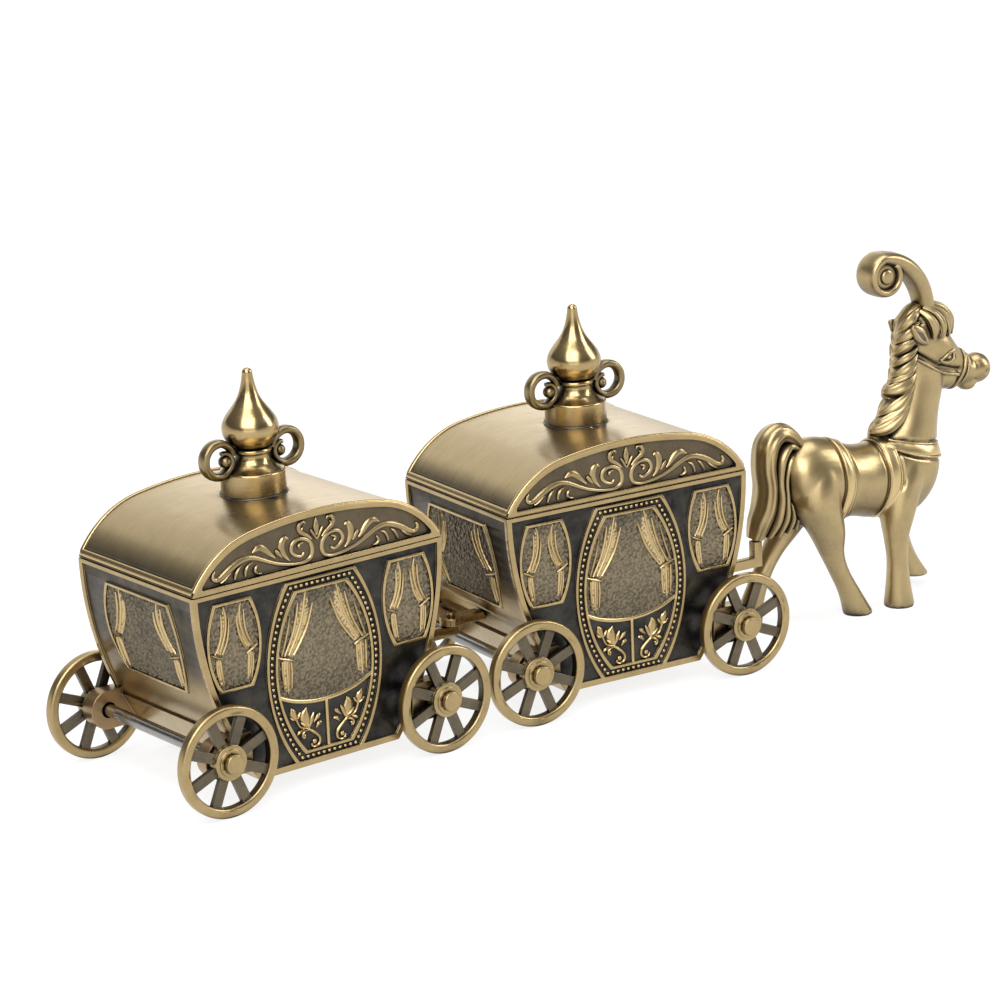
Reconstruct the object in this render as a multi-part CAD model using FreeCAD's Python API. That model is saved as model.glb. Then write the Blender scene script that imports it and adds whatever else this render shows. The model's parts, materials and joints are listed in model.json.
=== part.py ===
import FreeCAD, Part
import math
import os

# Keepsake train: two lidded carriage boxes on spoked wheels, drawn by a plumed horse.
# Millimetres. The ground is z = 0, +Z is up and +X points the way the train travels.
# Each carriage is built about its own centre on the ground and then set in its place in the train.

Vector = FreeCAD.Vector
UP = Vector(0, 0, 1)
SIDEWAYS = Vector(0, 1, 0)

# Fits
overrun = 1.0                  # how far cuts pass beyond what they cut
seat_gap = 0.02                # between pieces that are fixed to each other
pin_clearance = 0.12           # round a coupling pin, on the radius
axle_clearance = 0.3           # round an axle in its loose ears, on the radius
stack_gap = 0.3                # between parts that swing over each other
lid_seam = 0.1                 # dark line between lid and box

# Carriage box
seam_height = 42.9             # top of the box above the ground
floor_height = 4.0             # underside of the box above the ground
box_half_length = 29.3
box_half_width = 20.1
end_wall_radius = 66.0         # the end walls curve in towards the floor
wall = 1.8
floor_thickness = 2.0

# Raised borders and frames on the box walls
panel_depth = 0.5
corner_border = 1.2
top_border = 0.9
floor_border = 1.3
end_panel_foot = 13.6          # height of the moulding below the end panel
frame_width = 0.6

# Door on each side
door_half_top = 8.2
door_half_middle = 13.5
door_half_foot = 7.7
door_top_drop = 1.4            # below the seam
door_foot_rise = 0.6           # above the underside
door_middle_share = 0.56
bead_channel = 1.35             # flat strip between the door's two frames

# Small window beside the door, and the end window
window_centre = 20.5
window_half_top = 4.3
window_half_middle = 6.2
window_half_foot = 3.85
window_top_drop = 2.1
window_height = 17.7
window_middle_share = 0.53
end_window_half_top = 10.9
end_window_half_middle = 13.0
end_window_half_foot = 10.6
end_window_top_drop = 3.0
end_window_height = 18.6
end_window_middle_share = 0.5

# Lid
lid_end_gap = 0.1              # the lid's ends stand inside the box's
roof_rise = 11.5               # top of the roof above the seam
roof_radius = 85.0
eave_edge = 0.265              # upright edge at the lid's ends, below the arch
roof_corner_radius = 20.0
roof_thickness = 1.8
gable_rim = 1.25
gable_foot_rim = 1.15
gable_depth = 0.8
gable_corner = 0.5             # upright edge at each end of the gable panel
lip_thickness = 1.2
lip_depth = 2.0
lip_clearance = 0.25

# Finial and its fixing
finial_offset = 0.7            # the finial stands a little off the lid's middle
finial_base_radius = 6.4
finial_base_height = 4.5
finial_base_round = 0.4
finial_shoulder_height = 3.2
finial_neck_radius = 3.3
finial_ring_radius = 3.9
finial_ring_height = 1.2
finial_bulb_radius = 5.6
finial_bulb_height = 12.0      # from the ring to the root of the spire's tip
finial_tip_radius = 1.05
finial_tip_height = 3.6
# Width and height along the finial's shoulder, and along its bulb from the ring up to the spire
shoulder_shares = [(1.0, 0.0), (0.62, 0.16), (0.2, 0.48), (0.0, 1.0)]
bulb_shares = [(0.0, 0.0), (0.52, 0.08), (0.88, 0.18), (1.0, 0.35), (0.72, 0.57), (0.32, 0.78), (0.10, 1.0)]
seat_height = 0.15             # flat seat on top of the roof
inner_boss_radius = 3.6
inner_boss_height = 0.6
screw_radius = 1.5
screw_clearance = 0.05
screw_depth = 7.0              # length of thread inside the finial
screw_head_radius = 2.75
screw_head_height = 1.8
screw_cross_width = 0.8
screw_cross_length = 3.4
screw_cross_depth = 0.9

# Scroll loops beside the finial
loop_radius = 3.3              # to the middle of the strand
loop_strand_radius = 0.85
loop_reach = 7.85              # loop centre from the finial's axis
loop_height = 7.5              # loop centre above the finial's foot
loop_seam_lean = 60.0          # degrees from upright to where a loop's strand closes
volute_radius = 1.35
volute_offset = 1.45           # towards the finial
volute_drop = 0.6              # below the loop's centre

# Wheels and axles
wheel_radius = 11.0
rim_depth = 2.0
rim_round = 0.6
wheel_thickness = 2.3
wheel_gap = 2.2                # from the side wall to the wheel
axle_inset = 3.55              # axle in from the end of the box
axle_radius = 1.25
spoke_count = 8
spoke_width = 2.1
spoke_thickness = 1.1
spoke_turn_share = 0.5         # the wheels stand with a gap between two spokes at the top
spoke_recess = 0.75            # behind the rim's outer face
hub_radius = 3.5
hub_boss_radius = 2.7
hub_boss_height = 0.35         # beyond the rim's outer face
axle_head_radius = 1.95
axle_head_height = 1.2
axle_head_round = 0.3

# Axle ears on the box
ear_radius = 4.0
ear_inset = 1.6                # inside the side wall's plane
ear_outset = 1.7               # outside the side wall's plane

# Hitch bars, coupling and tow eye
bar_size = 2.1
bar_height = 14.3              # underside of the bar above the ground
hitch_overhang = 9.0           # coupling pin beyond the front of the wheels
tongue_setback = 5.35          # tow eye's hole inside the rear of the wheels
horse_post_height = 5.7        # post below the horse's tail
pin_radius = 0.8
horse_pin_length = 3.4
coupling_pin_length = 2.7
tenon_radius = 0.9
rivet_radius = 1.6
rivet_height = 0.7
eye_thickness = 1.6
eye_width = 3.6
eye_radius = 2.4
rear_yaw = 6.5                 # degrees that the rear carriage is turned at rest

# Horse: sizes that the tables of shares below follow
horse_length = 65.0            # hitch pin to the front of the muzzle
horse_height = 79.0            # ground to the top of the plume
horse_half_width = 7.6
forelock_radius = 3.9
mane_lock_radius = 3.1
plume_roll_radius = 5.1
plume_half_width = 3.3
plume_edge_round = 1.2
pin_hole_spare = 0.5           # tail hole beyond the end of the pin

# Cross-sections of the horse: along, up, half height and half width, as shares of its length,
# height, height and half width. The barrel's run from the rump to the breast.
barrel_shares = [
    (0.148, 0.410, 0.050, 0.42),
    (0.178, 0.398, 0.098, 0.78),
    (0.228, 0.387, 0.127, 0.96),
    (0.300, 0.382, 0.121, 1.00),
    (0.375, 0.372, 0.104, 0.95),
    (0.460, 0.360, 0.106, 0.93),
    (0.555, 0.367, 0.122, 0.97),
    (0.640, 0.374, 0.128, 0.96),
    (0.706, 0.384, 0.098, 0.80),
    (0.748, 0.400, 0.052, 0.48),
]
# The neck's sections are level: up, along, half length and half width.
neck_shares = [
    (0.405, 0.624, 0.124, 0.86),
    (0.480, 0.644, 0.110, 0.74),
    (0.532, 0.668, 0.096, 0.64),
    (0.582, 0.690, 0.091, 0.58),
    (0.633, 0.704, 0.084, 0.53),
    (0.696, 0.708, 0.078, 0.52),
    (0.760, 0.714, 0.074, 0.50),
    (0.798, 0.716, 0.056, 0.40),
]
# The head runs from the poll down to the muzzle: along, up, half height and half width.
head_tilt = 33.0               # degrees below level
head_shares = [
    (0.690, 0.738, 0.060, 0.52),
    (0.752, 0.700, 0.066, 0.56),
    (0.805, 0.662, 0.060, 0.52),
    (0.850, 0.634, 0.051, 0.46),
    (0.888, 0.617, 0.046, 0.44),
    (0.922, 0.604, 0.050, 0.50),
    (0.958, 0.590, 0.045, 0.46),
    (0.976, 0.578, 0.026, 0.28),
]
# Legs: up, along, across and radius, as shares of height, length, half width and half width.
leg_shares = {
    "near_hind": [(0.425, 0.238, -0.28, 0.46), (0.335, 0.226, -0.42, 0.70), (0.253, 0.246, -0.55, 0.56),
                  (0.190, 0.260, -0.58, 0.41), (0.133, 0.292, -0.58, 0.32), (0.063, 0.340, -0.57, 0.34),
                  (0.000, 0.376, -0.55, 0.45)],
    "off_hind": [(0.425, 0.238, 0.28, 0.46), (0.335, 0.222, 0.42, 0.70), (0.253, 0.170, 0.56, 0.50),
                 (0.190, 0.119, 0.60, 0.34), (0.133, 0.076, 0.62, 0.30), (0.063, 0.037, 0.63, 0.34),
                 (0.000, 0.012, 0.63, 0.45)],
    "near_fore": [(0.425, 0.585, -0.30, 0.44), (0.335, 0.562, -0.48, 0.64), (0.253, 0.532, -0.64, 0.51),
                  (0.196, 0.527, -0.70, 0.37), (0.133, 0.530, -0.72, 0.32), (0.063, 0.532, -0.72, 0.37),
                  (0.000, 0.536, -0.72, 0.46)],
    "off_fore": [(0.425, 0.600, 0.30, 0.44), (0.335, 0.615, 0.48, 0.62), (0.253, 0.638, 0.64, 0.46),
                 (0.190, 0.656, 0.70, 0.34), (0.133, 0.677, 0.72, 0.31), (0.080, 0.702, 0.72, 0.35),
                 (0.028, 0.735, 0.72, 0.44)],
}
forelock_share = (0.782, 0.764)
# Mane locks down the back of the neck: along, up and size.
mane_shares = [
    (0.641, 0.780, 0.96), (0.632, 0.733, 1.04), (0.630, 0.684, 1.04), (0.624, 0.634, 1.00),
    (0.602, 0.584, 1.00), (0.566, 0.539, 0.96), (0.526, 0.502, 0.86),
]
# The tail's centre line: along, up, half thickness and half width, as shares of length, height,
# half width and half width, with the slope of each section in degrees.
tail_shares = [
    (0.178, 0.500, 0.20, 0.26, 155.0),
    (0.120, 0.532, 0.33, 0.40, 180.0),
    (0.074, 0.502, 0.41, 0.48, 240.0),
    (0.064, 0.430, 0.44, 0.54, 270.0),
    (0.080, 0.355, 0.48, 0.58, 275.0),
    (0.066, 0.290, 0.58, 0.60, 258.0),
    (0.026, 0.215, 0.58, 0.52, 250.0),
]
tail_foot_share = 0.2569620253  # where the hitch post's top cuts the tail, as a share of the height
# The plume's stem rises from the poll and bends back over its roll.
plume_stem_shares = [
    (0.722, 0.785, 0.20, 0.34, 92.0),
    (0.714, 0.858, 0.21, 0.38, 104.0),
    (0.672, 0.916, 0.23, 0.41, 128.0),
    (0.610, 0.950, 0.25, 0.42, 160.0),
    (0.545, 0.952, 0.25, 0.42, 195.0),
]
plume_roll_share = (0.536, 0.930)

# Places that follow from the sizes above
lid_half_length = box_half_length - lid_end_gap
lid_foot = seam_height + lid_seam
roof_top = seam_height + roof_rise
finial_foot = roof_top + seat_height
finial_axis = Vector(finial_offset, 0, 0)
wheel_inner = box_half_width + wheel_gap
wheel_outer = wheel_inner + wheel_thickness
hub_face = wheel_outer + hub_boss_height
axle_offset = box_half_length - axle_inset
hitch_reach = axle_offset + wheel_radius + hitch_overhang
tongue_reach = axle_offset + wheel_radius - tongue_setback
bar_top = bar_height + bar_size
bar_middle = bar_height + bar_size / 2
tail_foot = bar_height + horse_post_height + stack_gap
eye_foot = bar_top + stack_gap


def line(start, end):
    """A straight edge."""
    return Part.makeLine(start, end)


def arc(start, middle, end):
    """A round edge through three points."""
    return Part.Arc(start, middle, end).toShape()


def prism(edges, direction):
    """A solid drawn out from a flat closed outline."""
    return Part.Face(Part.Wire(Part.__sortEdges__(edges))).extrude(direction)


def block(low, high):
    """A box between two corners."""
    size = high - low
    return Part.makeBox(size.x, size.y, size.z, low)


def fuse_all(shapes):
    """One solid from pieces that run into each other."""
    whole = shapes[0].multiFuse(shapes[1:]) if len(shapes) > 1 else shapes[0]
    return whole.removeSplitter()


def end_wall_x(height, inset):
    """How far out the end wall's surface stands at a height, set in by a wall's thickness."""
    drop = seam_height - height
    return box_half_length - end_wall_radius + math.sqrt((end_wall_radius - inset) ** 2 - drop ** 2)


def carriage_profile(inset, foot, top, half_width):
    """The carriage's long section as a solid, with its curved ends set in by an inset."""
    middle = (foot + top) / 2
    low = end_wall_x(foot, inset)
    mid = end_wall_x(middle, inset)
    high = end_wall_x(top, inset)
    y = -half_width
    edges = [
        line(Vector(-low, y, foot), Vector(low, y, foot)),
        arc(Vector(low, y, foot), Vector(mid, y, middle), Vector(high, y, top)),
        line(Vector(high, y, top), Vector(-high, y, top)),
        arc(Vector(-high, y, top), Vector(-mid, y, middle), Vector(-low, y, foot)),
    ]
    return prism(edges, SIDEWAYS * (2 * half_width))


def barrel_outline(centre, half_top, half_middle, half_foot, foot, top, middle_share, place):
    """Outline with straight top and foot and bulging sides; place turns (across, up) to a point."""
    middle = foot + (top - foot) * middle_share
    corners = [place(centre - half_top, top), place(centre + half_top, top),
               place(centre + half_foot, foot), place(centre - half_foot, foot)]
    return [
        line(corners[0], corners[1]),
        arc(corners[1], place(centre + half_middle, middle), corners[2]),
        line(corners[2], corners[3]),
        arc(corners[3], place(centre - half_middle, middle), corners[0]),
    ]


def barrel_ring(centre, half_top, half_middle, half_foot, foot, top, middle_share, width, place, depth):
    """Raised frame of one width round a barrel-shaped opening."""
    outer = barrel_outline(centre, half_top, half_middle, half_foot, foot, top, middle_share, place)
    inner = barrel_outline(centre, half_top - width, half_middle - width, half_foot - width,
                           foot + width, top - width, middle_share, place)
    return prism(outer, depth).cut(prism(inner, depth))


def side_frames(side):
    """Door frames and window frames standing on one side panel; side is -1 or 1."""
    face = side * (box_half_width - panel_depth)
    depth = SIDEWAYS * (side * panel_depth)

    def place(across, up):
        return Vector(across, face, up)

    door_top = seam_height - door_top_drop
    door_foot = floor_height + door_foot_rise
    inner = frame_width + bead_channel
    window_top = seam_height - window_top_drop
    frames = [
        barrel_ring(0, door_half_top, door_half_middle, door_half_foot, door_foot, door_top,
                    door_middle_share, frame_width, place, depth),
        barrel_ring(0, door_half_top - inner, door_half_middle - inner, door_half_foot - inner,
                    door_foot + inner, door_top - inner, door_middle_share, frame_width, place, depth),
    ]
    for end in (-1, 1):
        frames.append(barrel_ring(end * window_centre, window_half_top, window_half_middle,
                                  window_half_foot, window_top - window_height, window_top,
                                  window_middle_share, frame_width, place, depth))
    return frames


def end_frame(end):
    """Window frame that follows one curved end wall; end is -1 or 1."""
    window_top = seam_height - end_window_top_drop

    def place(across, up):
        return Vector(0, across, up)

    ring = barrel_ring(0, end_window_half_top, end_window_half_middle, end_window_half_foot,
                       window_top - end_window_height, window_top, end_window_middle_share,
                       frame_width, place, Vector(end * 2 * box_half_length, 0, 0))
    skin = carriage_profile(0, end_panel_foot, seam_height, box_half_width)
    return ring.common(skin.cut(carriage_profile(panel_depth, end_panel_foot, seam_height, box_half_width)))


def panelled_shell():
    """The box's walls with recessed panels inside raised borders."""
    shell = carriage_profile(0, floor_height, seam_height, box_half_width)
    panel_foot = floor_height + floor_border
    panel_top = seam_height - top_border
    for side in (-1, 1):
        panel = carriage_profile(corner_border, panel_foot, panel_top, box_half_width)
        panel.translate(SIDEWAYS * (side * (2 * box_half_width - panel_depth)))
        shell = shell.cut(panel)
    skin = carriage_profile(-overrun, end_panel_foot, panel_top, box_half_width - corner_border)
    core = carriage_profile(panel_depth, end_panel_foot, panel_top, box_half_width)
    shell = shell.cut(skin.cut(core))
    cavity = carriage_profile(wall + panel_depth, floor_height + floor_thickness, seam_height + overrun,
                              box_half_width - wall - panel_depth)
    return shell.cut(cavity)


def axle_ear(end, side):
    """One round ear with its arm, reaching out from the end wall at a corner."""
    inner = box_half_width - ear_inset
    thickness = ear_inset + ear_outset
    axis = SIDEWAYS * side
    centre = Vector(end * axle_offset, side * inner, wheel_radius)
    ear = Part.makeCylinder(ear_radius, thickness, centre, axis)
    root = end_wall_x(wheel_radius, wall)
    arm = block(Vector(min(end * root, centre.x), min(centre.y, centre.y + side * thickness),
                       wheel_radius - ear_radius),
                Vector(max(end * root, centre.x), max(centre.y, centre.y + side * thickness),
                       wheel_radius + ear_radius))
    return ear.fuse(arm)


def tenon_hole(end, height):
    """Hole through an end wall for a riveted tenon."""
    start = Vector(0, 0, height)
    return Part.makeCylinder(tenon_radius + seat_gap, 2 * box_half_length, start, Vector(end, 0, 0))


def carriage_box(has_tow_eye):
    """The box casting: panelled walls, frames, axle ears and the holes for hitch and tow eye."""
    pieces = [panelled_shell()]
    for side in (-1, 1):
        pieces += side_frames(side)
    for end in (-1, 1):
        pieces.append(end_frame(end))
        for side in (-1, 1):
            pieces.append(axle_ear(end, side))
    box = fuse_all(pieces)
    cavity = carriage_profile(wall + panel_depth, floor_height + floor_thickness, seam_height + overrun,
                              box_half_width - wall - panel_depth)
    box = box.cut(cavity)
    for end in (-1, 1):
        start = Vector(end * axle_offset, -wheel_outer, wheel_radius)
        box = box.cut(Part.makeCylinder(axle_radius + axle_clearance, 2 * wheel_outer, start, SIDEWAYS))
    box = box.cut(tenon_hole(1, bar_middle))
    if has_tow_eye:
        box = box.cut(tenon_hole(-1, eye_foot + eye_thickness / 2))
    return box


def roof_corner():
    """Lean of the roof where its corner arcs start, and the place that those arcs are centred on.

    The corner arcs touch the middle arc and end at the lid's ends, just above its foot.
    """
    eave_rise = lid_foot + eave_edge - roof_top + roof_radius
    eave_reach = math.hypot(lid_half_length, eave_rise)
    reach = roof_radius - roof_corner_radius
    turn = (eave_reach ** 2 + reach ** 2 - roof_corner_radius ** 2) / (2 * eave_reach * reach)
    lean = math.atan2(lid_half_length, eave_rise) - math.acos(turn)
    return lean, reach * math.sin(lean), roof_top - roof_radius + reach * math.cos(lean)


def eave_half_length(inset, height):
    """Half length of the roof at a height on its corner arc, set in by an inset."""
    lean, corner_x, corner_z = roof_corner()
    return corner_x + math.sqrt((roof_corner_radius - inset) ** 2 - (height - corner_z) ** 2)


def roof_profile(inset, foot, half_length, half_width):
    """Arched roof block: flat-topped arch with rounder corners, set in by an inset."""
    lean, corner_x, corner_z = roof_corner()
    small = roof_corner_radius - inset
    knee_x = corner_x + small * math.sin(lean)
    knee_z = corner_z + small * math.cos(lean)
    eave_z = corner_z + math.sqrt(small ** 2 - (half_length - corner_x) ** 2)
    middle_angle = (math.asin((half_length - corner_x) / small) + lean) / 2
    middle_x = corner_x + small * math.sin(middle_angle)
    middle_z = corner_z + small * math.cos(middle_angle)

    def at(x, z):
        return Vector(x, -half_width, z)

    edges = [
        line(at(-half_length, foot), at(half_length, foot)),
        line(at(half_length, foot), at(half_length, eave_z)),
        arc(at(half_length, eave_z), at(middle_x, middle_z), at(knee_x, knee_z)),
        arc(at(knee_x, knee_z), at(0, roof_top - inset), at(-knee_x, knee_z)),
        arc(at(-knee_x, knee_z), at(-middle_x, middle_z), at(-half_length, eave_z)),
        line(at(-half_length, eave_z), at(-half_length, foot)),
    ]
    return prism(edges, SIDEWAYS * (2 * half_width))


def carriage_lid():
    """The arched lid: roof, recessed gables, hollow, locating lip and the finial's seat."""
    roof = roof_profile(0, lid_foot, lid_half_length, box_half_width)
    panel_foot = lid_foot + gable_foot_rim
    panel_half_length = eave_half_length(gable_rim, panel_foot + gable_corner)
    for side in (-1, 1):
        panel = roof_profile(gable_rim, panel_foot, panel_half_length, box_half_width)
        panel.translate(SIDEWAYS * (side * (2 * box_half_width - gable_depth)))
        roof = roof.cut(panel)
    lip_half_length = end_wall_x(seam_height - lip_depth, wall + panel_depth) - lip_clearance
    lip_half_width = box_half_width - wall - panel_depth - lip_clearance
    lip = block(Vector(-lip_half_length, -lip_half_width, seam_height - lip_depth),
                Vector(lip_half_length, lip_half_width, lid_foot + lip_depth))
    seat = Part.makeCylinder(finial_base_radius, roof_thickness + seat_height,
                             finial_axis + UP * (roof_top - roof_thickness), UP)
    lid = fuse_all([roof, lip, seat])
    hollow = roof_profile(roof_thickness, seam_height - lip_depth - overrun,
                          lip_half_length - lip_thickness, lip_half_width - lip_thickness)
    boss_foot = roof_top - roof_thickness - inner_boss_height
    boss = Part.makeCylinder(inner_boss_radius, inner_boss_height + roof_thickness,
                             finial_axis + UP * boss_foot, UP)
    lid = fuse_all([lid.cut(hollow), boss])
    hole = Part.makeCylinder(screw_radius + screw_clearance, roof_rise,
                             finial_axis + UP * (boss_foot - overrun), UP)
    return lid.cut(hole)


def finial():
    """Turned finial: drum foot, hollow shoulder, ring, onion bulb and spire, with a screw hole below."""
    drum_top = finial_foot + finial_base_height
    ring_foot = drum_top + finial_shoulder_height
    bulb_foot = ring_foot + finial_ring_height
    tip_foot = bulb_foot + finial_bulb_height
    tip_top = tip_foot + finial_tip_height
    def at(radius, height):
        return Vector(radius, 0, height)

    drum_edge = finial_base_radius - finial_base_round
    shoulder = [at(finial_neck_radius + (drum_edge - finial_neck_radius) * wide,
                   drum_top + finial_shoulder_height * high) for wide, high in shoulder_shares]
    swell = finial_bulb_radius - finial_neck_radius
    slim = finial_bulb_radius - finial_tip_radius
    bulb_widest = bulb_shares.index(max(bulb_shares))
    bulb = []
    for index, (wide, high) in enumerate(bulb_shares):
        rising = index <= bulb_widest
        radius = finial_neck_radius + swell * wide if rising else finial_tip_radius + slim * wide
        bulb.append(at(radius, bulb_foot + finial_bulb_height * high))
    bulb.append(at(finial_tip_radius, tip_top - finial_tip_radius))
    shoulder_curve = Part.BSplineCurve()
    shoulder_curve.interpolate(shoulder)
    bulb_curve = Part.BSplineCurve()
    bulb_curve.interpolate(bulb)
    round_share = math.sqrt(2) / 2
    ring_middle = ring_foot + finial_ring_height / 2
    edges = [
        line(at(0, finial_foot), at(finial_base_radius, finial_foot)),
        line(at(finial_base_radius, finial_foot), at(finial_base_radius, drum_top - finial_base_round)),
        arc(at(finial_base_radius, drum_top - finial_base_round),
            at(drum_edge + finial_base_round * round_share,
               drum_top - finial_base_round * (1 - round_share)),
            at(drum_edge, drum_top)),
        shoulder_curve.toShape(),
        arc(at(finial_neck_radius, ring_foot), at(finial_ring_radius, ring_middle),
            at(finial_neck_radius, bulb_foot)),
        bulb_curve.toShape(),
        arc(at(finial_tip_radius, tip_top - finial_tip_radius),
            at(finial_tip_radius * round_share, tip_top - finial_tip_radius * (1 - round_share)),
            at(0, tip_top)),
        line(at(0, tip_top), at(0, finial_foot)),
    ]
    turned = Part.Face(Part.Wire(edges)).revolve(Vector(0, 0, 0), UP, 360)
    hole = Part.makeCylinder(screw_radius + screw_clearance, screw_depth + overrun + screw_clearance,
                             Vector(0, 0, finial_foot - overrun), UP)
    return turned.cut(hole)


def finial_loops(knob):
    """Two scroll loops with ball volutes, one each side, fitted against the finial."""
    loops = []
    height = finial_foot + loop_height
    for end in (-1, 1):
        centre = Vector(end * loop_reach, 0, height)
        ring = Part.makeTorus(loop_radius, loop_strand_radius, Vector(0, 0, 0), UP)
        ring.rotate(Vector(0, 0, 0), Vector(1, 0, 0), end * 90)
        ring.rotate(Vector(0, 0, 0), SIDEWAYS, 90 - end * loop_seam_lean)
        ring.translate(centre)
        ball = Part.makeSphere(volute_radius, centre - Vector(end * volute_offset, 0, volute_drop))
        loops.append(ring.fuse(ball).removeSplitter().cut(knob))
    return Part.makeCompound(loops)


def finial_screw():
    """Cross-head screw up through the roof into the finial."""
    seat = roof_top - roof_thickness - inner_boss_height
    shank = Part.makeCylinder(screw_radius, finial_foot + screw_depth - seat, Vector(0, 0, seat), UP)
    head_foot = seat - screw_head_height
    head = Part.makeCylinder(screw_head_radius, screw_head_height, Vector(0, 0, head_foot), UP)
    screw = fuse_all([shank, head])
    half_width = screw_cross_width / 2
    half_length = screw_cross_length / 2
    for x, y in ((half_width, half_length), (half_length, half_width)):
        screw = screw.cut(block(Vector(-x, -y, head_foot - overrun),
                                Vector(x, y, head_foot + screw_cross_depth)))
    return screw


def rim():
    """Tyre-like rim of rounded section, standing on edge."""
    inner = wheel_radius - rim_depth
    bend = rim_round * (1 - math.sqrt(2) / 2)
    x0, x1 = inner, wheel_radius
    y0, y1 = wheel_inner, wheel_outer

    def at(radius, across):
        return Vector(radius, across, 0)

    edges = [
        line(at(x0 + rim_round, y0), at(x1 - rim_round, y0)),
        arc(at(x1 - rim_round, y0), at(x1 - bend, y0 + bend), at(x1, y0 + rim_round)),
        line(at(x1, y0 + rim_round), at(x1, y1 - rim_round)),
        arc(at(x1, y1 - rim_round), at(x1 - bend, y1 - bend), at(x1 - rim_round, y1)),
        line(at(x1 - rim_round, y1), at(x0 + rim_round, y1)),
        arc(at(x0 + rim_round, y1), at(x0 + bend, y1 - bend), at(x0, y1 - rim_round)),
        line(at(x0, y1 - rim_round), at(x0, y0 + rim_round)),
        arc(at(x0, y0 + rim_round), at(x0 + bend, y0 + bend), at(x0 + rim_round, y0)),
    ]
    return Part.Face(Part.Wire(edges)).revolve(Vector(0, 0, 0), SIDEWAYS, 360)


def left_wheel():
    """Spoked wheel of the left side, about the axle's own line through the origin."""
    spoke_outer = wheel_outer - spoke_recess
    inner_face = Vector(0, wheel_inner, 0)
    pieces = [rim(),
              Part.makeCylinder(hub_radius, wheel_thickness, inner_face, SIDEWAYS),
              Part.makeCylinder(hub_boss_radius, hub_face - wheel_inner, inner_face, SIDEWAYS)]
    for index in range(spoke_count):
        spoke = block(Vector(axle_radius, spoke_outer - spoke_thickness, -spoke_width / 2),
                      Vector(wheel_radius - rim_depth / 2, spoke_outer, spoke_width / 2))
        spoke.rotate(Vector(0, 0, 0), SIDEWAYS, (index + spoke_turn_share) * 360 / spoke_count)
        pieces.append(spoke)
    wheel = fuse_all(pieces)
    bore = Part.makeCylinder(axle_radius + seat_gap, 2 * wheel_outer, Vector(0, 0, 0), SIDEWAYS)
    return wheel.cut(bore)


def axle():
    """Steel rod with a peened head outside each wheel, about its own line through the origin."""
    rod = Part.makeCylinder(axle_radius, 2 * hub_face, Vector(0, -hub_face, 0), SIDEWAYS)
    pieces = [rod]
    for side in (-1, 1):
        head = Part.makeCylinder(axle_head_radius, axle_head_height, Vector(0, side * hub_face, 0),
                                 SIDEWAYS * side)
        rounds = [edge for edge in head.Edges if len(edge.Vertexes) == 1]
        crown = [edge for edge in rounds if side * edge.CenterOfMass.y > hub_face + axle_head_height / 2]
        pieces.append(head.makeFillet(axle_head_round, crown))
    return fuse_all(pieces)


def riveted_tenon(end, height):
    """Round tenon through an end wall with its head closed inside the box."""
    wall_x = end_wall_x(height, 0)
    inside_x = end_wall_x(height, wall + panel_depth)
    start_x = inside_x - rivet_height
    start = Vector(end * start_x, 0, height)
    outward = Vector(end, 0, 0)
    tenon = Part.makeCylinder(tenon_radius, wall_x - start_x + overrun, start, outward)
    head = Part.makeCylinder(rivet_radius, rivet_height + wall / 2, start, outward)
    return [tenon, head]


def hitch_bar(box, post_height, pin_length):
    """Square bar out of the front wall, with an upturned post and a round pin on top."""
    half = bar_size / 2
    root = end_wall_x(bar_middle, wall / 2)
    bar = block(Vector(root, -half, bar_height), Vector(hitch_reach + half, half, bar_top))
    post = block(Vector(hitch_reach - half, -half, bar_height),
                 Vector(hitch_reach + half, half, bar_height + post_height))
    pin = Part.makeCylinder(pin_radius, post_height + pin_length, Vector(hitch_reach, 0, bar_height), UP)
    outside = carriage_profile(0, floor_height, seam_height, box_half_width)
    shank = fuse_all([bar, post, pin]).cut(outside)
    return fuse_all([shank] + [piece.cut(box) for piece in riveted_tenon(1, bar_middle)])


def tow_eye(box):
    """Plate out of the rear wall with a round eye for the coupling pin."""
    middle = eye_foot + eye_thickness / 2
    half = eye_width / 2
    root = end_wall_x(middle, wall / 2)
    plate = block(Vector(-tongue_reach, -half, eye_foot), Vector(-root, half, eye_foot + eye_thickness))
    ring = Part.makeCylinder(eye_radius, eye_thickness, Vector(-tongue_reach, 0, eye_foot), UP)
    outside = carriage_profile(0, floor_height, seam_height, box_half_width)
    shank = fuse_all([plate, ring]).cut(outside)
    eye = fuse_all([shank] + [piece.cut(box) for piece in riveted_tenon(-1, middle)])
    hole = Part.makeCylinder(pin_radius + pin_clearance, 2 * eye_thickness,
                             Vector(-tongue_reach, 0, eye_foot - eye_thickness / 2), UP)
    return eye.cut(hole)


def lid_set(name, turned):
    """A lid with its finial, loops and screw, by name; a turned lid faces backwards."""
    knob = finial()
    nodes = {name + "_lid": carriage_lid()}
    for part_name, shape in (("finial", knob), ("finial_loops", finial_loops(knob)),
                             ("finial_screw", finial_screw())):
        nodes[name + "_" + part_name] = shape.translated(finial_axis)
    if turned:
        for shape in nodes.values():
            shape.rotate(Vector(0, 0, 0), UP, 180)
    return nodes


def wheel_sets(name):
    """Both axles of a carriage with their wheels, by name."""
    nodes = {}
    left = left_wheel()
    right = left.mirror(Vector(0, 0, 0), SIDEWAYS)
    rod = axle()
    for place, end in (("fore", 1), ("aft", -1)):
        move = Vector(end * axle_offset, 0, wheel_radius)
        for part_name, shape in (("axle", rod), ("left_wheel", left), ("right_wheel", right)):
            nodes[name + "_" + place + "_" + part_name] = shape.translated(move)
    return nodes


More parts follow.
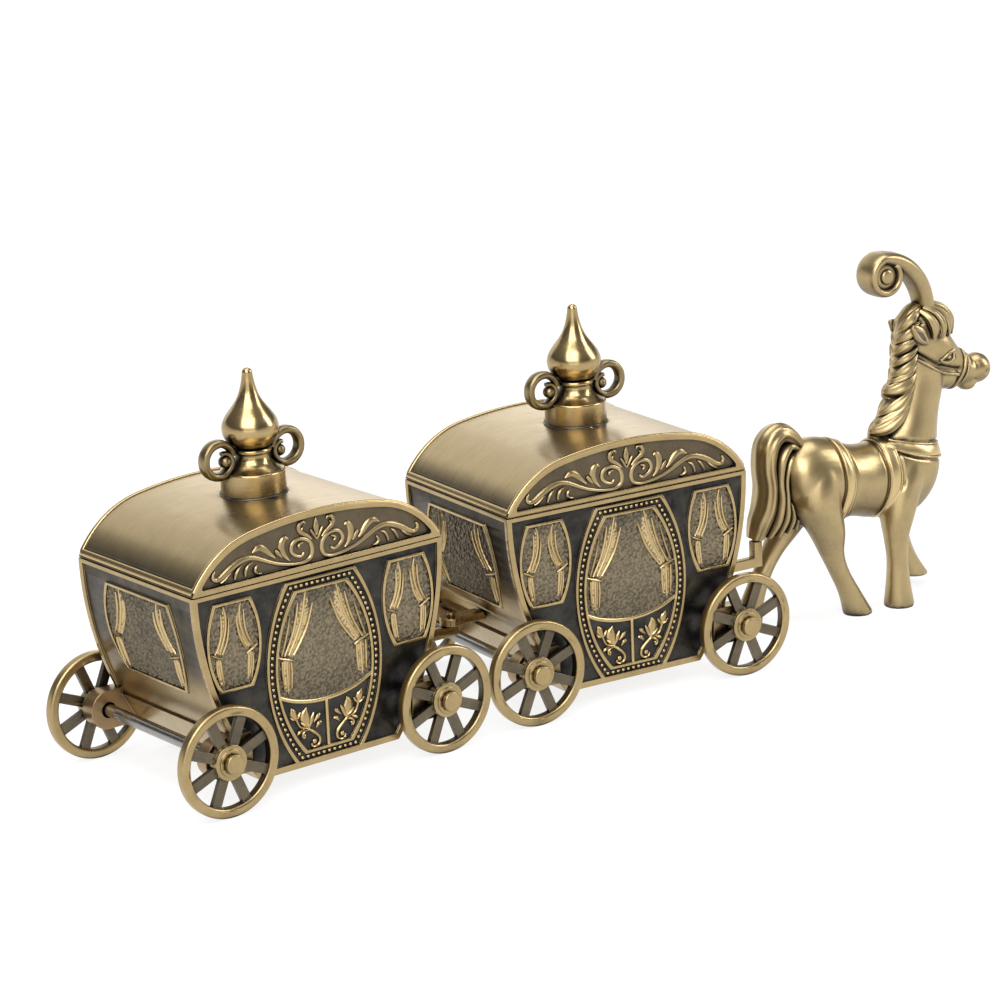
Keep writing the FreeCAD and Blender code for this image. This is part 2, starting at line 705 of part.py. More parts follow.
def carriage(name, leads, post_height, pin_length):
    """All nodes of one carriage about its own centre, by name; the one that leads has the tow eye."""
    box = carriage_box(leads)
    nodes = {name + "_box": box, name + "_hitch_bar": hitch_bar(box, post_height, pin_length)}
    if leads:
        nodes[name + "_tow_eye"] = tow_eye(box)
    nodes.update(lid_set(name, not leads))
    nodes.update(wheel_sets(name))
    return nodes


def ellipse_wire(centre, along, across, half_along, half_across):
    """Closed elliptical section about a centre, in the plane of two directions."""
    if half_along >= half_across:
        curve = Part.Ellipse(centre + along * half_along, centre + across * half_across, centre)
    else:
        curve = Part.Ellipse(centre + across * half_across, centre - along * half_along, centre)
    return Part.Wire(curve.toShape())


def horse_point(along_share, up_share):
    """A point in the horse's middle plane, from the hitch pin and the ground."""
    return Vector(hitch_reach + horse_length * along_share, 0, horse_height * up_share)


def upright_loft(shares):
    """Solid through upright cross-sections, as along the barrel."""
    wires = []
    for along, up, half_height, half_width in shares:
        wires.append(ellipse_wire(horse_point(along, up), UP, SIDEWAYS,
                                  horse_height * half_height, horse_half_width * half_width))
    return Part.makeLoft(wires, True)


def level_loft(shares):
    """Solid through level cross-sections, as up the neck."""
    wires = []
    for up, along, half_length, half_width in shares:
        wires.append(ellipse_wire(horse_point(along, up), Vector(1, 0, 0), SIDEWAYS,
                                  horse_length * half_length, horse_half_width * half_width))
    return Part.makeLoft(wires, True)


def bent_loft(shares):
    """Solid through sections square to a bending line, each with its own slope in degrees."""
    wires = []
    for along, up, half_thick, half_width, slope in shares:
        angle = math.radians(slope + 90)
        thick_way = Vector(math.cos(angle), 0, math.sin(angle))
        wires.append(ellipse_wire(horse_point(along, up), thick_way, SIDEWAYS,
                                  horse_half_width * half_thick, horse_half_width * half_width))
    return Part.makeLoft(wires, True)


def horse_head():
    """Head from the poll to the round muzzle."""
    angle = math.radians(90 - head_tilt)
    upward = Vector(math.cos(angle), 0, math.sin(angle))
    wires = []
    for along, up, half_height, half_width in head_shares:
        wires.append(ellipse_wire(horse_point(along, up), upward, SIDEWAYS,
                                  horse_height * half_height, horse_half_width * half_width))
    return Part.makeLoft(wires, True)


def horse_leg(shares):
    """One leg from inside the barrel down to its flared hoof."""
    wires = []
    for up, along, across, radius in shares:
        centre = horse_point(along, up) + SIDEWAYS * (horse_half_width * across)
        wires.append(Part.Wire(Part.makeCircle(horse_half_width * radius, centre, UP)))
    return Part.makeLoft(wires, True)


def horse_body():
    """Barrel, neck, head, forelock and legs in one casting."""
    pieces = [upright_loft(barrel_shares), level_loft(neck_shares), horse_head()]
    pieces += [horse_leg(shares) for shares in leg_shares.values()]
    pieces.append(Part.makeSphere(forelock_radius, horse_point(*forelock_share)))
    body = pieces[0]
    for piece in pieces[1:]:
        body = body.fuse(piece)
    return body


def horse_mane(body):
    """Locks in a row down the back of the neck, fitted against the body."""
    locks = [Part.makeSphere(mane_lock_radius * size, horse_point(along, up))
             for along, up, size in mane_shares]
    mane = locks[0]
    for lock in locks[1:]:
        mane = mane.fuse(lock)
    return mane.cut(body)


def horse_plume(body):
    """Feather rising from the poll and rolled backwards, fitted on the head."""
    stem = bent_loft(plume_stem_shares)
    centre = horse_point(*plume_roll_share)
    roll = Part.makeCylinder(plume_roll_radius, 2 * plume_half_width,
                             centre - SIDEWAYS * plume_half_width, SIDEWAYS)
    ends = [edge for edge in roll.Edges if len(edge.Vertexes) == 1]
    return roll.makeFillet(plume_edge_round, ends).fuse(stem).cut(body)


def tail_sections():
    """The tail's sections, drawn out or pushed together so that the foot stays on its hitch post."""
    lift = tail_foot / horse_height - tail_foot_share
    root_share = tail_shares[0][1]
    sections = []
    for along, up, half_thick, half_width, slope in tail_shares:
        lowness = (root_share - up) / (root_share - tail_foot_share)
        sections.append((along, up + lowness * lift, half_thick, half_width, slope))
    return sections


def horse_tail(body):
    """Arched tail, cut flat above the hitch post, with the hole for its pin."""
    tail = bent_loft(tail_sections()).cut(body)
    below = block(Vector(-horse_length, -horse_length, -horse_length),
                  Vector(2 * horse_length, horse_length, tail_foot))
    hole = Part.makeCylinder(pin_radius + pin_clearance, horse_pin_length + pin_hole_spare,
                             Vector(hitch_reach, 0, tail_foot - stack_gap), UP)
    return tail.cut(below).cut(hole)


def horse():
    """All nodes of the horse, in the front carriage's frame."""
    body = horse_body()
    mane = horse_mane(body)
    return {
        "horse_body": body,
        "horse_mane": mane,
        "horse_plume": horse_plume(body).cut(mane),
        "horse_tail": horse_tail(body),
    }


def train():
    """Every node in the front carriage's frame: the rear carriage is turned on its coupling pin."""
    nodes = carriage("front", True, horse_post_height, horse_pin_length)
    nodes.update(horse())
    for name, shape in carriage("rear", False, bar_size, coupling_pin_length).items():
        moved = shape.copy()
        moved.rotate(Vector(hitch_reach, 0, 0), UP, rear_yaw)
        moved.translate(Vector(-hitch_reach - tongue_reach, 0, 0))
        nodes[name] = moved
    return nodes


def main():
    """Set the train's foot centre at the origin, and write one file per node."""
    os.makedirs("parts", exist_ok=True)
    nodes = train()
    bounds = Part.makeCompound(list(nodes.values())).optimalBoundingBox()
    shift = Vector(-bounds.Center.x, -bounds.Center.y, -bounds.ZMin)
    print("size", round(bounds.XLength, 3), round(bounds.YLength, 3), round(bounds.ZLength, 3))
    print("front carriage centre", [round(value, 4) for value in shift])
    for name in sorted(nodes):
        shape = nodes[name].translated(shift)
        solids = len(shape.Solids)
        print(name, "solids", solids, "volume", round(shape.Volume, 2), "valid", shape.isValid())
        shape.exportStep("parts/" + name + ".step")


main()
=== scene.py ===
"""Looks of a keepsake train in antique brass: two lidded carriages drawn by a plumed horse."""
import json
import logging
import math
from dataclasses import dataclass, field
from enum import Enum
from typing import Callable, Sequence

import bmesh
import bpy
from mathutils import Matrix, Vector, kdtree, noise
from mathutils.bvhtree import BVHTree

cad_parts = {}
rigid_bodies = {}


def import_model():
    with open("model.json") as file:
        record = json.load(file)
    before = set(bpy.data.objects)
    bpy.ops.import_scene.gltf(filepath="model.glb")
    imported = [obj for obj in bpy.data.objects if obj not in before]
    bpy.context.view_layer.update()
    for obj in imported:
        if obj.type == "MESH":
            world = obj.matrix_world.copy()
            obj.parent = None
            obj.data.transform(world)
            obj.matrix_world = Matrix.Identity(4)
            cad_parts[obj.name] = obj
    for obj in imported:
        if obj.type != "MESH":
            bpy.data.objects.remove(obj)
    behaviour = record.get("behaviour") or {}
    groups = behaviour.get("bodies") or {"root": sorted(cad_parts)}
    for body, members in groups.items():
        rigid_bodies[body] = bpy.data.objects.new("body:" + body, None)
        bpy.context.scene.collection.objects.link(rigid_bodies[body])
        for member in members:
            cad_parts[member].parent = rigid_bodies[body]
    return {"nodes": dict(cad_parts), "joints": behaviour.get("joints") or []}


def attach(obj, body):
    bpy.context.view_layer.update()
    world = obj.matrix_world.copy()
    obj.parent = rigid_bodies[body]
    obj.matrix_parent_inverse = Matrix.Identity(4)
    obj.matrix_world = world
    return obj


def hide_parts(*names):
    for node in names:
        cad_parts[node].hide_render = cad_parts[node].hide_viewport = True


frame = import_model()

LOG = logging.getLogger("train")
MM = 0.001
STARTUP_OBJECTS = {"Cube", "Light", "Camera"}
AHEAD, ACROSS, UP = (Vector(axis) for axis in ((1.0, 0.0, 0.0), (0.0, 1.0, 0.0), (0.0, 0.0, 1.0)))
HANDS = (-1.0, 1.0)
THINNEST = 0.03
HALF_TURN = 180.0
BMesh = bmesh.types.BMesh
Socket = bpy.types.NodeSocket
Row = Sequence[float]
Rows = Sequence[Row]
Triple = tuple[float, float, float]
Span = tuple[float, float]
Spot = tuple[Vector, Vector]


class Tone(Enum):
    """Finishes by name."""

    BRIGHT = "bright_brass"
    FINIAL = "turned_brass"
    LOOP = "scroll_brass"
    CLOTH = "draped_brass"
    ROOF = "brushed_roof"
    GROUND = "dark_ground"
    END = "end_panel"
    GABLE = "gable_ground"
    PEBBLE = "pebbled_ground"
    RELIEF = "relief_brass"
    WHEEL = "wheel_brass"
    SPOKE = "spoke_bronze"
    HORSE = "horse_brass"
    STEEL = "axle_steel"
    COPPER = "worn_copper"
    INSIDE = "inner_metal"


class Face(Enum):
    """Which wall of a carriage a drawing lies on."""

    SIDE = "side"
    END = "end"


@dataclass(frozen=True)
class Finish:
    """A patinated metal: the worn colour, the dark colour and how one gives way to the other.

    The painted height shade is a height in metres, a second height and the darkness gained from one to the
    other, painted as shade that changes with height.
    The reach, in millimetres, is how near another surface darkens this one. The painted under shade is how
    much of the dark colour is painted on faces that look down, as the shade that falls under things.
    """

    bright: Triple
    dark: Triple
    base: float = 0.1
    recess: float = 0.8
    wear: float = 0.5
    mottle: float = 0.3
    rough_bright: float = 0.3
    rough_dark: float = 0.45
    streak: Triple = (1.0, 1.0, 1.0)
    streak_rough: float = 0.05
    bump: float = 0.06
    fade: Triple = (0.0, 1.0, 0.0)
    reach: float = 3.6
    under: float = 0.0


# The painted under shade darkens faces that look down, on the finial, the loops and the horse only.
FINISHES: dict[Tone, Finish] = {
    Tone.BRIGHT: Finish((0.45, 0.33, 0.158), (0.020, 0.017, 0.013), 0.11, 1.2, 0.5, 0.35, 0.24, 0.44),
    Tone.FINIAL: Finish((0.48, 0.35, 0.165), (0.018, 0.016, 0.012), 0.08, 2.2, 0.15, 0.4, 0.20, 0.40,
                        (0.05, 0.05, 1.0), 0.14, 0.06, reach=8.0, under=0.3),
    Tone.LOOP: Finish((0.42, 0.315, 0.155), (0.018, 0.016, 0.013), 0.34, 1.9, 0.5, 0.35, 0.24, 0.46,
                      reach=8.0, under=0.4),
    Tone.CLOTH: Finish((0.42, 0.315, 0.16), (0.018, 0.017, 0.015), 0.21, 1.4, 0.6, 0.35, 0.30, 0.5),
    # The roof darkens towards the eaves: painted shade from the dark surroundings, together with the
    # patina's own darkening there.
    Tone.ROOF: Finish((0.53, 0.405, 0.215), (0.024, 0.019, 0.013), 0.05, 1.2, 0.5, 0.18, 0.30, 0.42,
                      (0.04, 1.0, 0.04), 0.16, 0.10, (0.0490, 0.0435, 0.80)),
    Tone.GROUND: Finish((0.17, 0.15, 0.115), (0.010, 0.0115, 0.014), 0.80, 0.6, 0.35, 0.5, 0.30, 0.40),
    # The end panel darkens towards its top: painted shade.
    Tone.END: Finish((0.44, 0.325, 0.16), (0.028, 0.029, 0.031), 0.04, 0.8, 0.4, 0.25, 0.28, 0.40,
                     fade=(0.0175, 0.0300, 0.84)),
    Tone.GABLE: Finish((0.26, 0.20, 0.12), (0.016, 0.014, 0.012), 0.57, 1.0, 0.3, 0.3, 0.36, 0.46),
    Tone.PEBBLE: Finish((0.33, 0.27, 0.172), (0.013, 0.0135, 0.014), 0.89, 0.6, 0.1, 0.2, 0.32, 0.48),
    Tone.RELIEF: Finish((0.46, 0.34, 0.163), (0.016, 0.015, 0.012), 0.12, 1.2, 0.5, 0.3, 0.27, 0.5),
    Tone.WHEEL: Finish((0.44, 0.325, 0.156), (0.018, 0.016, 0.012), 0.10, 1.2, 0.5, 0.3, 0.30, 0.5),
    Tone.SPOKE: Finish((0.26, 0.21, 0.135), (0.012, 0.013, 0.015), 0.50, 1.1, 0.6, 0.4, 0.30, 0.46),
    Tone.HORSE: Finish((0.475, 0.36, 0.182), (0.030, 0.027, 0.024), 0.08, 1.5, 0.5, 0.28, 0.33, 0.48,
                       (1.0, 1.0, 0.06), 0.10, 0.05, reach=6.0, under=0.52),
    Tone.STEEL: Finish((0.40, 0.39, 0.37), (0.04, 0.037, 0.032), 0.25, 0.9, 0.3, 0.12, 0.16, 0.4,
                       (1.0, 0.05, 1.0), 0.1, 0.03),
    Tone.COPPER: Finish((0.45, 0.31, 0.165), (0.09, 0.062, 0.036), 0.22, 0.8, 0.5, 0.4, 0.32, 0.5),
    Tone.INSIDE: Finish((0.24, 0.19, 0.11), (0.05, 0.042, 0.030), 0.35, 0.6, 0.3, 0.3, 0.42, 0.55),
}


PATINA_INPUTS: dict[str, str] = {
    "Bright": "Color", "Dark": "Color", "Base": "Float", "Recess": "Float", "Wear": "Float",
    "Mottle": "Float", "Rough Bright": "Float", "Rough Dark": "Float", "Streak": "Vector",
    "Streak Rough": "Float", "Fade": "Vector", "Reach": "Float", "Under": "Float",
}
PATINA_OUTPUTS: dict[str, str] = {"Colour": "Color", "Roughness": "Float", "Height": "Float"}


@dataclass(frozen=True)
class Patina:
    """How the patina is laid on every finish.

    Reaches and depths are in millimetres. A span is the reading that counts for nothing and the
    reading that counts in full.
    """

    samples: int = 6
    tight_reach: float = 0.8
    rim_reach: float = 0.45
    wide_span: Span = (0.80, 0.25)
    tight_span: Span = (0.85, 0.30)
    rim_span: Span = (0.62, 0.25)
    # Normal heights where the painted under shade starts and where it is full.
    under_shade_span: Span = (0.15, -0.85)
    wide_share: float = 0.55
    tight_share: float = 0.65
    blotch_scale: float = 230.0
    blotch_detail: float = 5.0
    blotch_rough: float = 0.62
    speck_scale: float = 2600.0
    streak_scale: float = 3400.0
    fine_detail: float = 3.0
    speck_share: float = 0.10
    uneven_share: float = 1.6
    brushed_share: float = 1.5
    scratch_share: float = 0.5
    polish_share: float = 0.7
    bump_depth: float = 0.05
    coat: float = 0.12
    coat_rough: float = 0.22


@dataclass
class NodeDesk:
    """A node tree with short calls that add nodes and join them."""

    tree: bpy.types.NodeTree

    def feed(self, node: bpy.types.Node, inputs: dict) -> None:
        """Set inputs of a node.

        Args:
            node: The node.
            inputs: Input name or number to a value, or to a socket to join.
        """
        for key, value in inputs.items():
            if isinstance(value, Socket):
                self.tree.links.new(value, node.inputs[key])
            else:
                node.inputs[key].default_value = value

    def add(self, kind: str, inputs: dict | None = None, **settings: object) -> bpy.types.Node:
        """Add a node.

        Args:
            kind: Blender's node type.
            inputs: Input name or number to a value, or to a socket to join.
            settings: Attributes of the node.

        Returns:
            The new node.
        """
        node = self.tree.nodes.new(kind)
        for key, value in settings.items():
            setattr(node, key, value)
        self.feed(node, inputs or {})
        return node

    def sum(self, operation: str, *terms: object, clamp: bool = False) -> Socket:
        """Return the output of a Math node with this operation on these terms."""
        node = self.add("ShaderNodeMath", dict(enumerate(terms)), operation=operation, use_clamp=clamp)
        return node.outputs[0]

    def spread(self, value: object, low: object, high: object, most: object = 1.0) -> Socket:
        """Return a value stretched smoothly so that low gives 0 and high gives the most."""
        inputs = {"Value": value, "From Min": low, "From Max": high, "To Max": most}
        return self.add("ShaderNodeMapRange", inputs, interpolation_type="SMOOTHSTEP").outputs["Result"]

    def blend(self, share: object, first: object, second: object) -> Socket:
        """Return the colour between the first and the second by share."""
        node = self.add("ShaderNodeMix", {"Factor": share, 6: first, 7: second}, data_type="RGBA")
        return node.outputs[2]

    def clouds(self, vector: object, scale: float, detail: float, rough: float = 0.5) -> Socket:
        """Return a noise over the places given."""
        inputs = {"Vector": vector, "Scale": scale, "Detail": detail, "Roughness": rough}
        return self.add("ShaderNodeTexNoise", inputs).outputs["Fac"]

    def openness(self, reach: object, samples: int, inside: bool = False) -> Socket:
        """Return how open the surface is within a reach, outwards or into the metal."""
        node = self.add("ShaderNodeAmbientOcclusion", {"Distance": reach}, samples=samples, inside=inside)
        return node.outputs["AO"]

    def parts(self, vector: object) -> bpy.types.bpy_prop_collection:
        """Return the three values of a vector as outputs X, Y and Z."""
        return self.add("ShaderNodeSeparateXYZ", {"Vector": vector}).outputs


class MaterialShop:
    """Makes each finish once, from one shared patina group."""

    def __init__(self) -> None:
        """Make the patina group."""
        self.patina = Patina()
        self.made: dict[Tone, bpy.types.Material] = {}
        self.group = self.patina_group()

    def patina_group(self) -> bpy.types.NodeTree:
        """Make the group that turns hollows, edges, streaks, blotches, painted shade on faces that look
        down and painted shade by height into colour and roughness.

        Returns:
            The group.
        """
        group = bpy.data.node_groups.new("aged_metal", "ShaderNodeTree")
        for side, sockets in (("INPUT", PATINA_INPUTS), ("OUTPUT", PATINA_OUTPUTS)):
            for name, kind in sockets.items():
                group.interface.new_socket(name, in_out=side, socket_type="NodeSocket" + kind)
        desk, laid = NodeDesk(group), self.patina
        given = desk.add("NodeGroupInput").outputs
        coords = desk.add("ShaderNodeTexCoord").outputs
        place = coords["Object"]
        wide = desk.spread(desk.openness(given["Reach"], laid.samples), *laid.wide_span)
        tight = desk.spread(desk.openness(laid.tight_reach * MM, laid.samples), *laid.tight_span)
        hollow = desk.sum("ADD", desk.sum("MULTIPLY", wide, laid.wide_share),
                          desk.sum("MULTIPLY", tight, laid.tight_share), clamp=True)
        rim = desk.openness(laid.rim_reach * MM, laid.samples, inside=True)
        buffed = desk.sum("MULTIPLY", desk.spread(rim, *laid.rim_span), given["Wear"])
        blotch = desk.clouds(place, laid.blotch_scale, laid.blotch_detail, laid.blotch_rough)
        speck = desk.clouds(place, laid.speck_scale, laid.fine_detail)
        stretched = desk.add("ShaderNodeVectorMath", {0: place, 1: given["Streak"]}, operation="MULTIPLY")
        streak = desk.clouds(stretched.outputs[0], laid.streak_scale, laid.fine_detail)
        tip = desk.add("ShaderNodeAttribute", attribute_name="grain").outputs["Fac"]
        # Painted shade by height, from each finish's painted height shade.
        fade = desk.parts(given["Fade"])
        height_shade_amount = desk.spread(desk.parts(place)["Z"], fade["X"], fade["Y"], fade["Z"])
        # Painted shade on faces that look down.
        under_shade = desk.spread(desk.parts(coords["Normal"])["Z"], *laid.under_shade_span)
        uneven = desk.sum("MULTIPLY", desk.sum("SUBTRACT", blotch, 0.5), given["Mottle"])
        uneven = desk.sum("MULTIPLY_ADD", desk.sum("SUBTRACT", speck, 0.5), laid.speck_share, uneven)
        brushed = desk.sum("MULTIPLY", desk.sum("SUBTRACT", streak, 0.5), given["Streak Rough"])
        dark = desk.sum("MULTIPLY_ADD", hollow, given["Recess"], given["Base"])
        dark = desk.sum("ADD", dark, height_shade_amount)
        dark = desk.sum("MULTIPLY_ADD", under_shade, given["Under"], dark)
        dark = desk.sum("MULTIPLY_ADD", uneven, laid.uneven_share, dark)
        dark = desk.sum("MULTIPLY_ADD", brushed, laid.brushed_share, dark)
        dark = desk.sum("SUBTRACT", dark, buffed)
        dark = desk.sum("SUBTRACT", dark, tip, clamp=True)
        ends = {2: given["Rough Bright"], 3: given["Rough Dark"]}
        rough = desk.add("ShaderNodeMix", {"Factor": dark, **ends})
        polish = desk.sum("MULTIPLY_ADD", buffed, laid.polish_share, 1.0)
        worn = desk.add("ShaderNodeVectorMath", {0: given["Bright"], "Scale": polish}, operation="SCALE")
        desk.add("NodeGroupOutput", {"Colour": desk.blend(dark, worn.outputs[0], given["Dark"]),
                                     "Roughness": desk.sum("ADD", brushed, rough.outputs[0]),
                                     "Height": desk.sum("MULTIPLY_ADD", speck, laid.scratch_share, streak)})
        return group

    def get(self, tone: Tone) -> bpy.types.Material:
        """Find the material of a tone, which is made the first time.

        Args:
            tone: The finish's name.

        Returns:
            The material.
        """
        if tone not in self.made:
            self.made[tone] = self.make(tone.value, FINISHES[tone])
        return self.made[tone]

    def make(self, name: str, finish: Finish) -> bpy.types.Material:
        """Make a metal material.

        Args:
            name: The material's name.
            finish: Its colours and wear.

        Returns:
            The material.
        """
        material = bpy.data.materials.new(name)
        material.use_nodes = True
        desk = NodeDesk(material.node_tree)
        aged = desk.add("ShaderNodeGroup", node_tree=self.group)
        for key, kind in PATINA_INPUTS.items():
            value = getattr(finish, key.lower().replace(" ", "_"))
            aged.inputs[key].default_value = (*value, 1.0) if kind == "Color" else value
        aged.inputs["Reach"].default_value = finish.reach * MM
        bump = desk.add("ShaderNodeBump", {"Strength": finish.bump, "Distance": self.patina.bump_depth * MM,
                                           "Height": aged.outputs["Height"]})
        desk.feed(material.node_tree.nodes["Principled BSDF"], {
            "Base Color": aged.outputs["Colour"], "Roughness": aged.outputs["Roughness"],
            "Normal": bump.outputs["Normal"], "Metallic": 1.0, "Coat Weight": self.patina.coat,
            "Coat Roughness": self.patina.coat_rough})
        return material


def spline(rows: Rows, steps: int) -> list[tuple[float, ...]]:
    """Round a row of points into a smooth line through them.

    Args:
        rows: Points of any number of values.
        steps: Points made for each span.

    Returns:
        The points of the smooth line.
    """
    last = len(rows) - 1
    made: list[tuple[float, ...]] = []
    for span in range(last):
        near = [rows[min(max(n, 0), last)] for n in range(span - 1, span + 3)]
        for step in range(steps):
            t = step / steps
            made.append(tuple(
                0.5 * (2 * b + (c - a) * t + (2 * a - 5 * b + 4 * c - d) * t * t
                       + (3 * b - a - 3 * c + d) * t ** 3)
                for a, b, c, d in zip(*near)))
    return [*made, tuple(rows[-1])]


def turned(degrees: float, first: Vector, second: Vector) -> Vector:
    """Return the direction at an angle from the first axis towards the second."""
    angle = math.radians(degrees)
    return first * math.cos(angle) + second * math.sin(angle)


def struck(form: BVHTree, inside: Vector, way: Vector, reach: float) -> Spot:
    """Return the form's point and outward direction on a line to inside from a reach away along way."""
    spot, out, *_ = form.ray_cast(inside + way * reach, -way)
    return spot, out


def drawn(rows: Rows, hand: float, centre: float = 0.0, swell: float = 1.0) -> list[Row]:
    """Return a drawing's points for one hand about a centre, with their widths swollen."""
    return [(centre + hand * across, up, half * swell) for across, up, half in rows]


@dataclass(frozen=True)
class Ring:
    """A flat oval in space: its centre and its two half axes."""

    centre: Vector
    across: Vector
    out: Vector

    def matrix(self) -> Matrix:
        """Find the matrix that turns a unit circle into this oval.

        Returns:
            The matrix.
        """
        square = self.across.cross(self.out).normalized()
        matrix = Matrix((self.across, self.out, square)).transposed().to_4x4()
        matrix.translation = self.centre
        return matrix


def absorb(bm: BMesh, part: BMesh) -> None:
    """Move a small mesh into a larger one, ordered by place so that every run gives the same order.

    Args:
        bm: The mesh to add to.
        part: The mesh to add, freed here.
    """
    for number, vert in enumerate(sorted(part.verts, key=lambda item: item.co[:])):
        vert.index = number
    for number, face in enumerate(sorted(part.faces, key=lambda item: item.calc_center_median()[:])):
        face.index = number
    part.verts.sort()
    part.faces.sort()
    mesh = bpy.data.meshes.new("part")
    part.to_mesh(mesh)
    part.free()
    bm.from_mesh(mesh)
    bpy.data.meshes.remove(mesh)


def sweep(bm: BMesh, rings: Sequence[Ring], sides: int = 10, closed: bool = False,
          square: float = 1.0, flutes: tuple[int, float] = (0, 0.0)) -> None:
    """Run a skin over a row of ovals.

    Args:
        bm: The mesh to add to.
        rings: The ovals in order.
        sides: Corners of each oval.
        closed: Whether the last oval leads back to the first.
        square: Below 1, how far each oval swells towards its corners.
        flutes: Number of grooves combed along it and their depth as a share.
    """
    part = bmesh.new()
    verts = bmesh.ops.create_circle(part, cap_ends=not closed, segments=sides, radius=1.0)["verts"]
    for vert in verts:
        comb = 1.0 - flutes[1] * (0.5 - 0.5 * math.cos(flutes[0] * math.atan2(vert.co.y, vert.co.x)))
        vert.co = comb * Vector([math.copysign(abs(value) ** square, value) for value in vert.co])
    bmesh.ops.transform(part, matrix=rings[0].matrix(), verts=verts)
    edges = list(part.edges)
    first = edges
    for before, after in zip(rings, rings[1:]):
        grown = bmesh.ops.extrude_edge_only(part, edges=edges)["geom"]
        verts = [item for item in grown if isinstance(item, bmesh.types.BMVert)]
        reached = set(verts)
        edges = [edge for edge in grown if isinstance(edge, bmesh.types.BMEdge)
                 and reached.issuperset(edge.verts)]
        bmesh.ops.transform(part, matrix=after.matrix() @ before.matrix().inverted(), verts=verts)
    if closed:
        bmesh.ops.bridge_loops(part, edges=first + edges)
    else:
        bmesh.ops.edgeloop_fill(part, edges=edges)
    absorb(bm, part)


def ball(bm: BMesh, centre: Row, halves: Row, fine: int = 12) -> None:
    """Add an egg shape.

    Args:
        bm: The mesh to add to.
        centre: Its middle.
        halves: Its three half sizes.
        fine: Its rings.
    """
    part = bmesh.new()
    matrix = Matrix.Translation(centre) @ Matrix.Diagonal((*halves, 1.0))
    bmesh.ops.create_uvsphere(part, u_segments=2 * fine, v_segments=fine, radius=1.0, matrix=matrix)
    absorb(bm, part)


def strand_rings(spine: Sequence[Vector], halves: Sequence[tuple[float, float]],
                 outs: Sequence[Vector], closed: bool = False) -> list[Ring]:
    """Set ovals square to a line.

    Args:
        spine: Points of the line.
        halves: Half width and half thickness at each point.
        outs: The direction that the thickness lies near, at each point.
        closed: Whether the line runs round.

    Returns:
        An oval for each point.
    """
    rings = []
    last = len(spine) - 1
    for number, (centre, (wide, thick), out) in enumerate(zip(spine, halves, outs)):
        after = spine[(number + 1) % len(spine)] if closed else spine[min(number + 1, last)]
        before = spine[number - 1] if closed else spine[max(number - 1, 0)]
        along = (after - before).normalized()
        across = along.cross(out).normalized()
        rings.append(Ring(centre, across * max(wide, THINNEST), across.cross(along) * max(thick, THINNEST)))
    return rings


def ribbon(bm: BMesh, rows: Rows, steps: int, sides: int, hand: float = 1.0, out: float = 0.0,
           square: float = 1.0, flutes: tuple[int, float] = (0, 0.0)) -> None:
    """Run a strand along a line drawn in side view.

    Args:
        bm: The mesh to add to.
        rows: Along, up, half thickness and half width of each point.
        steps: Stations for each span.
        sides: Corners round the strand.
        hand: 1 or -1, the side that it faces.
        out: Its distance from the middle towards that side.
        square: Below 1, how far each oval swells towards its corners.
        flutes: Number of grooves combed along it and their depth as a share.
    """
    line = spline(rows, steps)
    spine = [Vector((x, hand * out, z)) for x, z, _, _ in line]
    rings = strand_rings(spine, [row[2:] for row in line], [ACROSS * hand] * len(spine))
    sweep(bm, rings, sides, square=square, flutes=flutes)


def hold(name: str, bm: BMesh) -> bpy.types.Object:
    """Make an object of a mesh and put it in the scene.

    Args:
        name: The object's name.
        bm: Its mesh, freed here.

    Returns:
        The new object.
    """
    mesh = bpy.data.meshes.new(name)
    bm.to_mesh(mesh)
    bm.free()
    piece = bpy.data.objects.new(name, mesh)
    bpy.context.scene.collection.objects.link(piece)
    return piece


def applied(holder: bpy.types.Object, *tools: bpy.types.Object) -> BMesh:
    """Take the mesh that an object's modifiers make.

    Args:
        holder: The object, removed here.
        tools: Objects that its modifiers use, removed here too.

    Returns:
        The mesh.
    """
    view = bpy.context.evaluated_depsgraph_get()
    made = bpy.data.meshes.new_from_object(holder.evaluated_get(view))
    bm = bmesh.new()
    bm.from_mesh(made)
    spent = [made]
    for item in (holder, *tools):
        spent.append(item.data)
        bpy.data.objects.remove(item)
    for mesh in spent:
        bpy.data.meshes.remove(mesh)
    return bm


def put(name: str, bm: BMesh, place: Matrix, body: str,
        tones: Sequence[bpy.types.Material], stands_for: Sequence[str] = (),
        crease: float = 50.0) -> bpy.types.Object:
    """Finish a piece and hang it on its body.

    Args:
        name: The piece's name.
        bm: Its mesh in millimetres, freed here.
        place: Matrix into the shared frame.
        body: The body that it rides on.
        tones: Its materials.
        stands_for: Nodes that it replaces.
        crease: Angle in degrees above which an edge stays sharp.

    Returns:
        The new object.
    """
    bmesh.ops.recalc_face_normals(bm, faces=bm.faces)
    bmesh.ops.transform(bm, matrix=place, verts=bm.verts)
    piece = hold(name, bm)
    mesh = piece.data
    for tone in tones:
        mesh.materials.append(tone)
    mesh.shade_smooth()
    mesh.set_sharp_from_angle(angle=math.radians(crease))
    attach(piece, body)
    if stands_for:
        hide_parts(*stands_for)
    LOG.info("%s: %d faces on %s", name, len(mesh.polygons), body)
    return piece


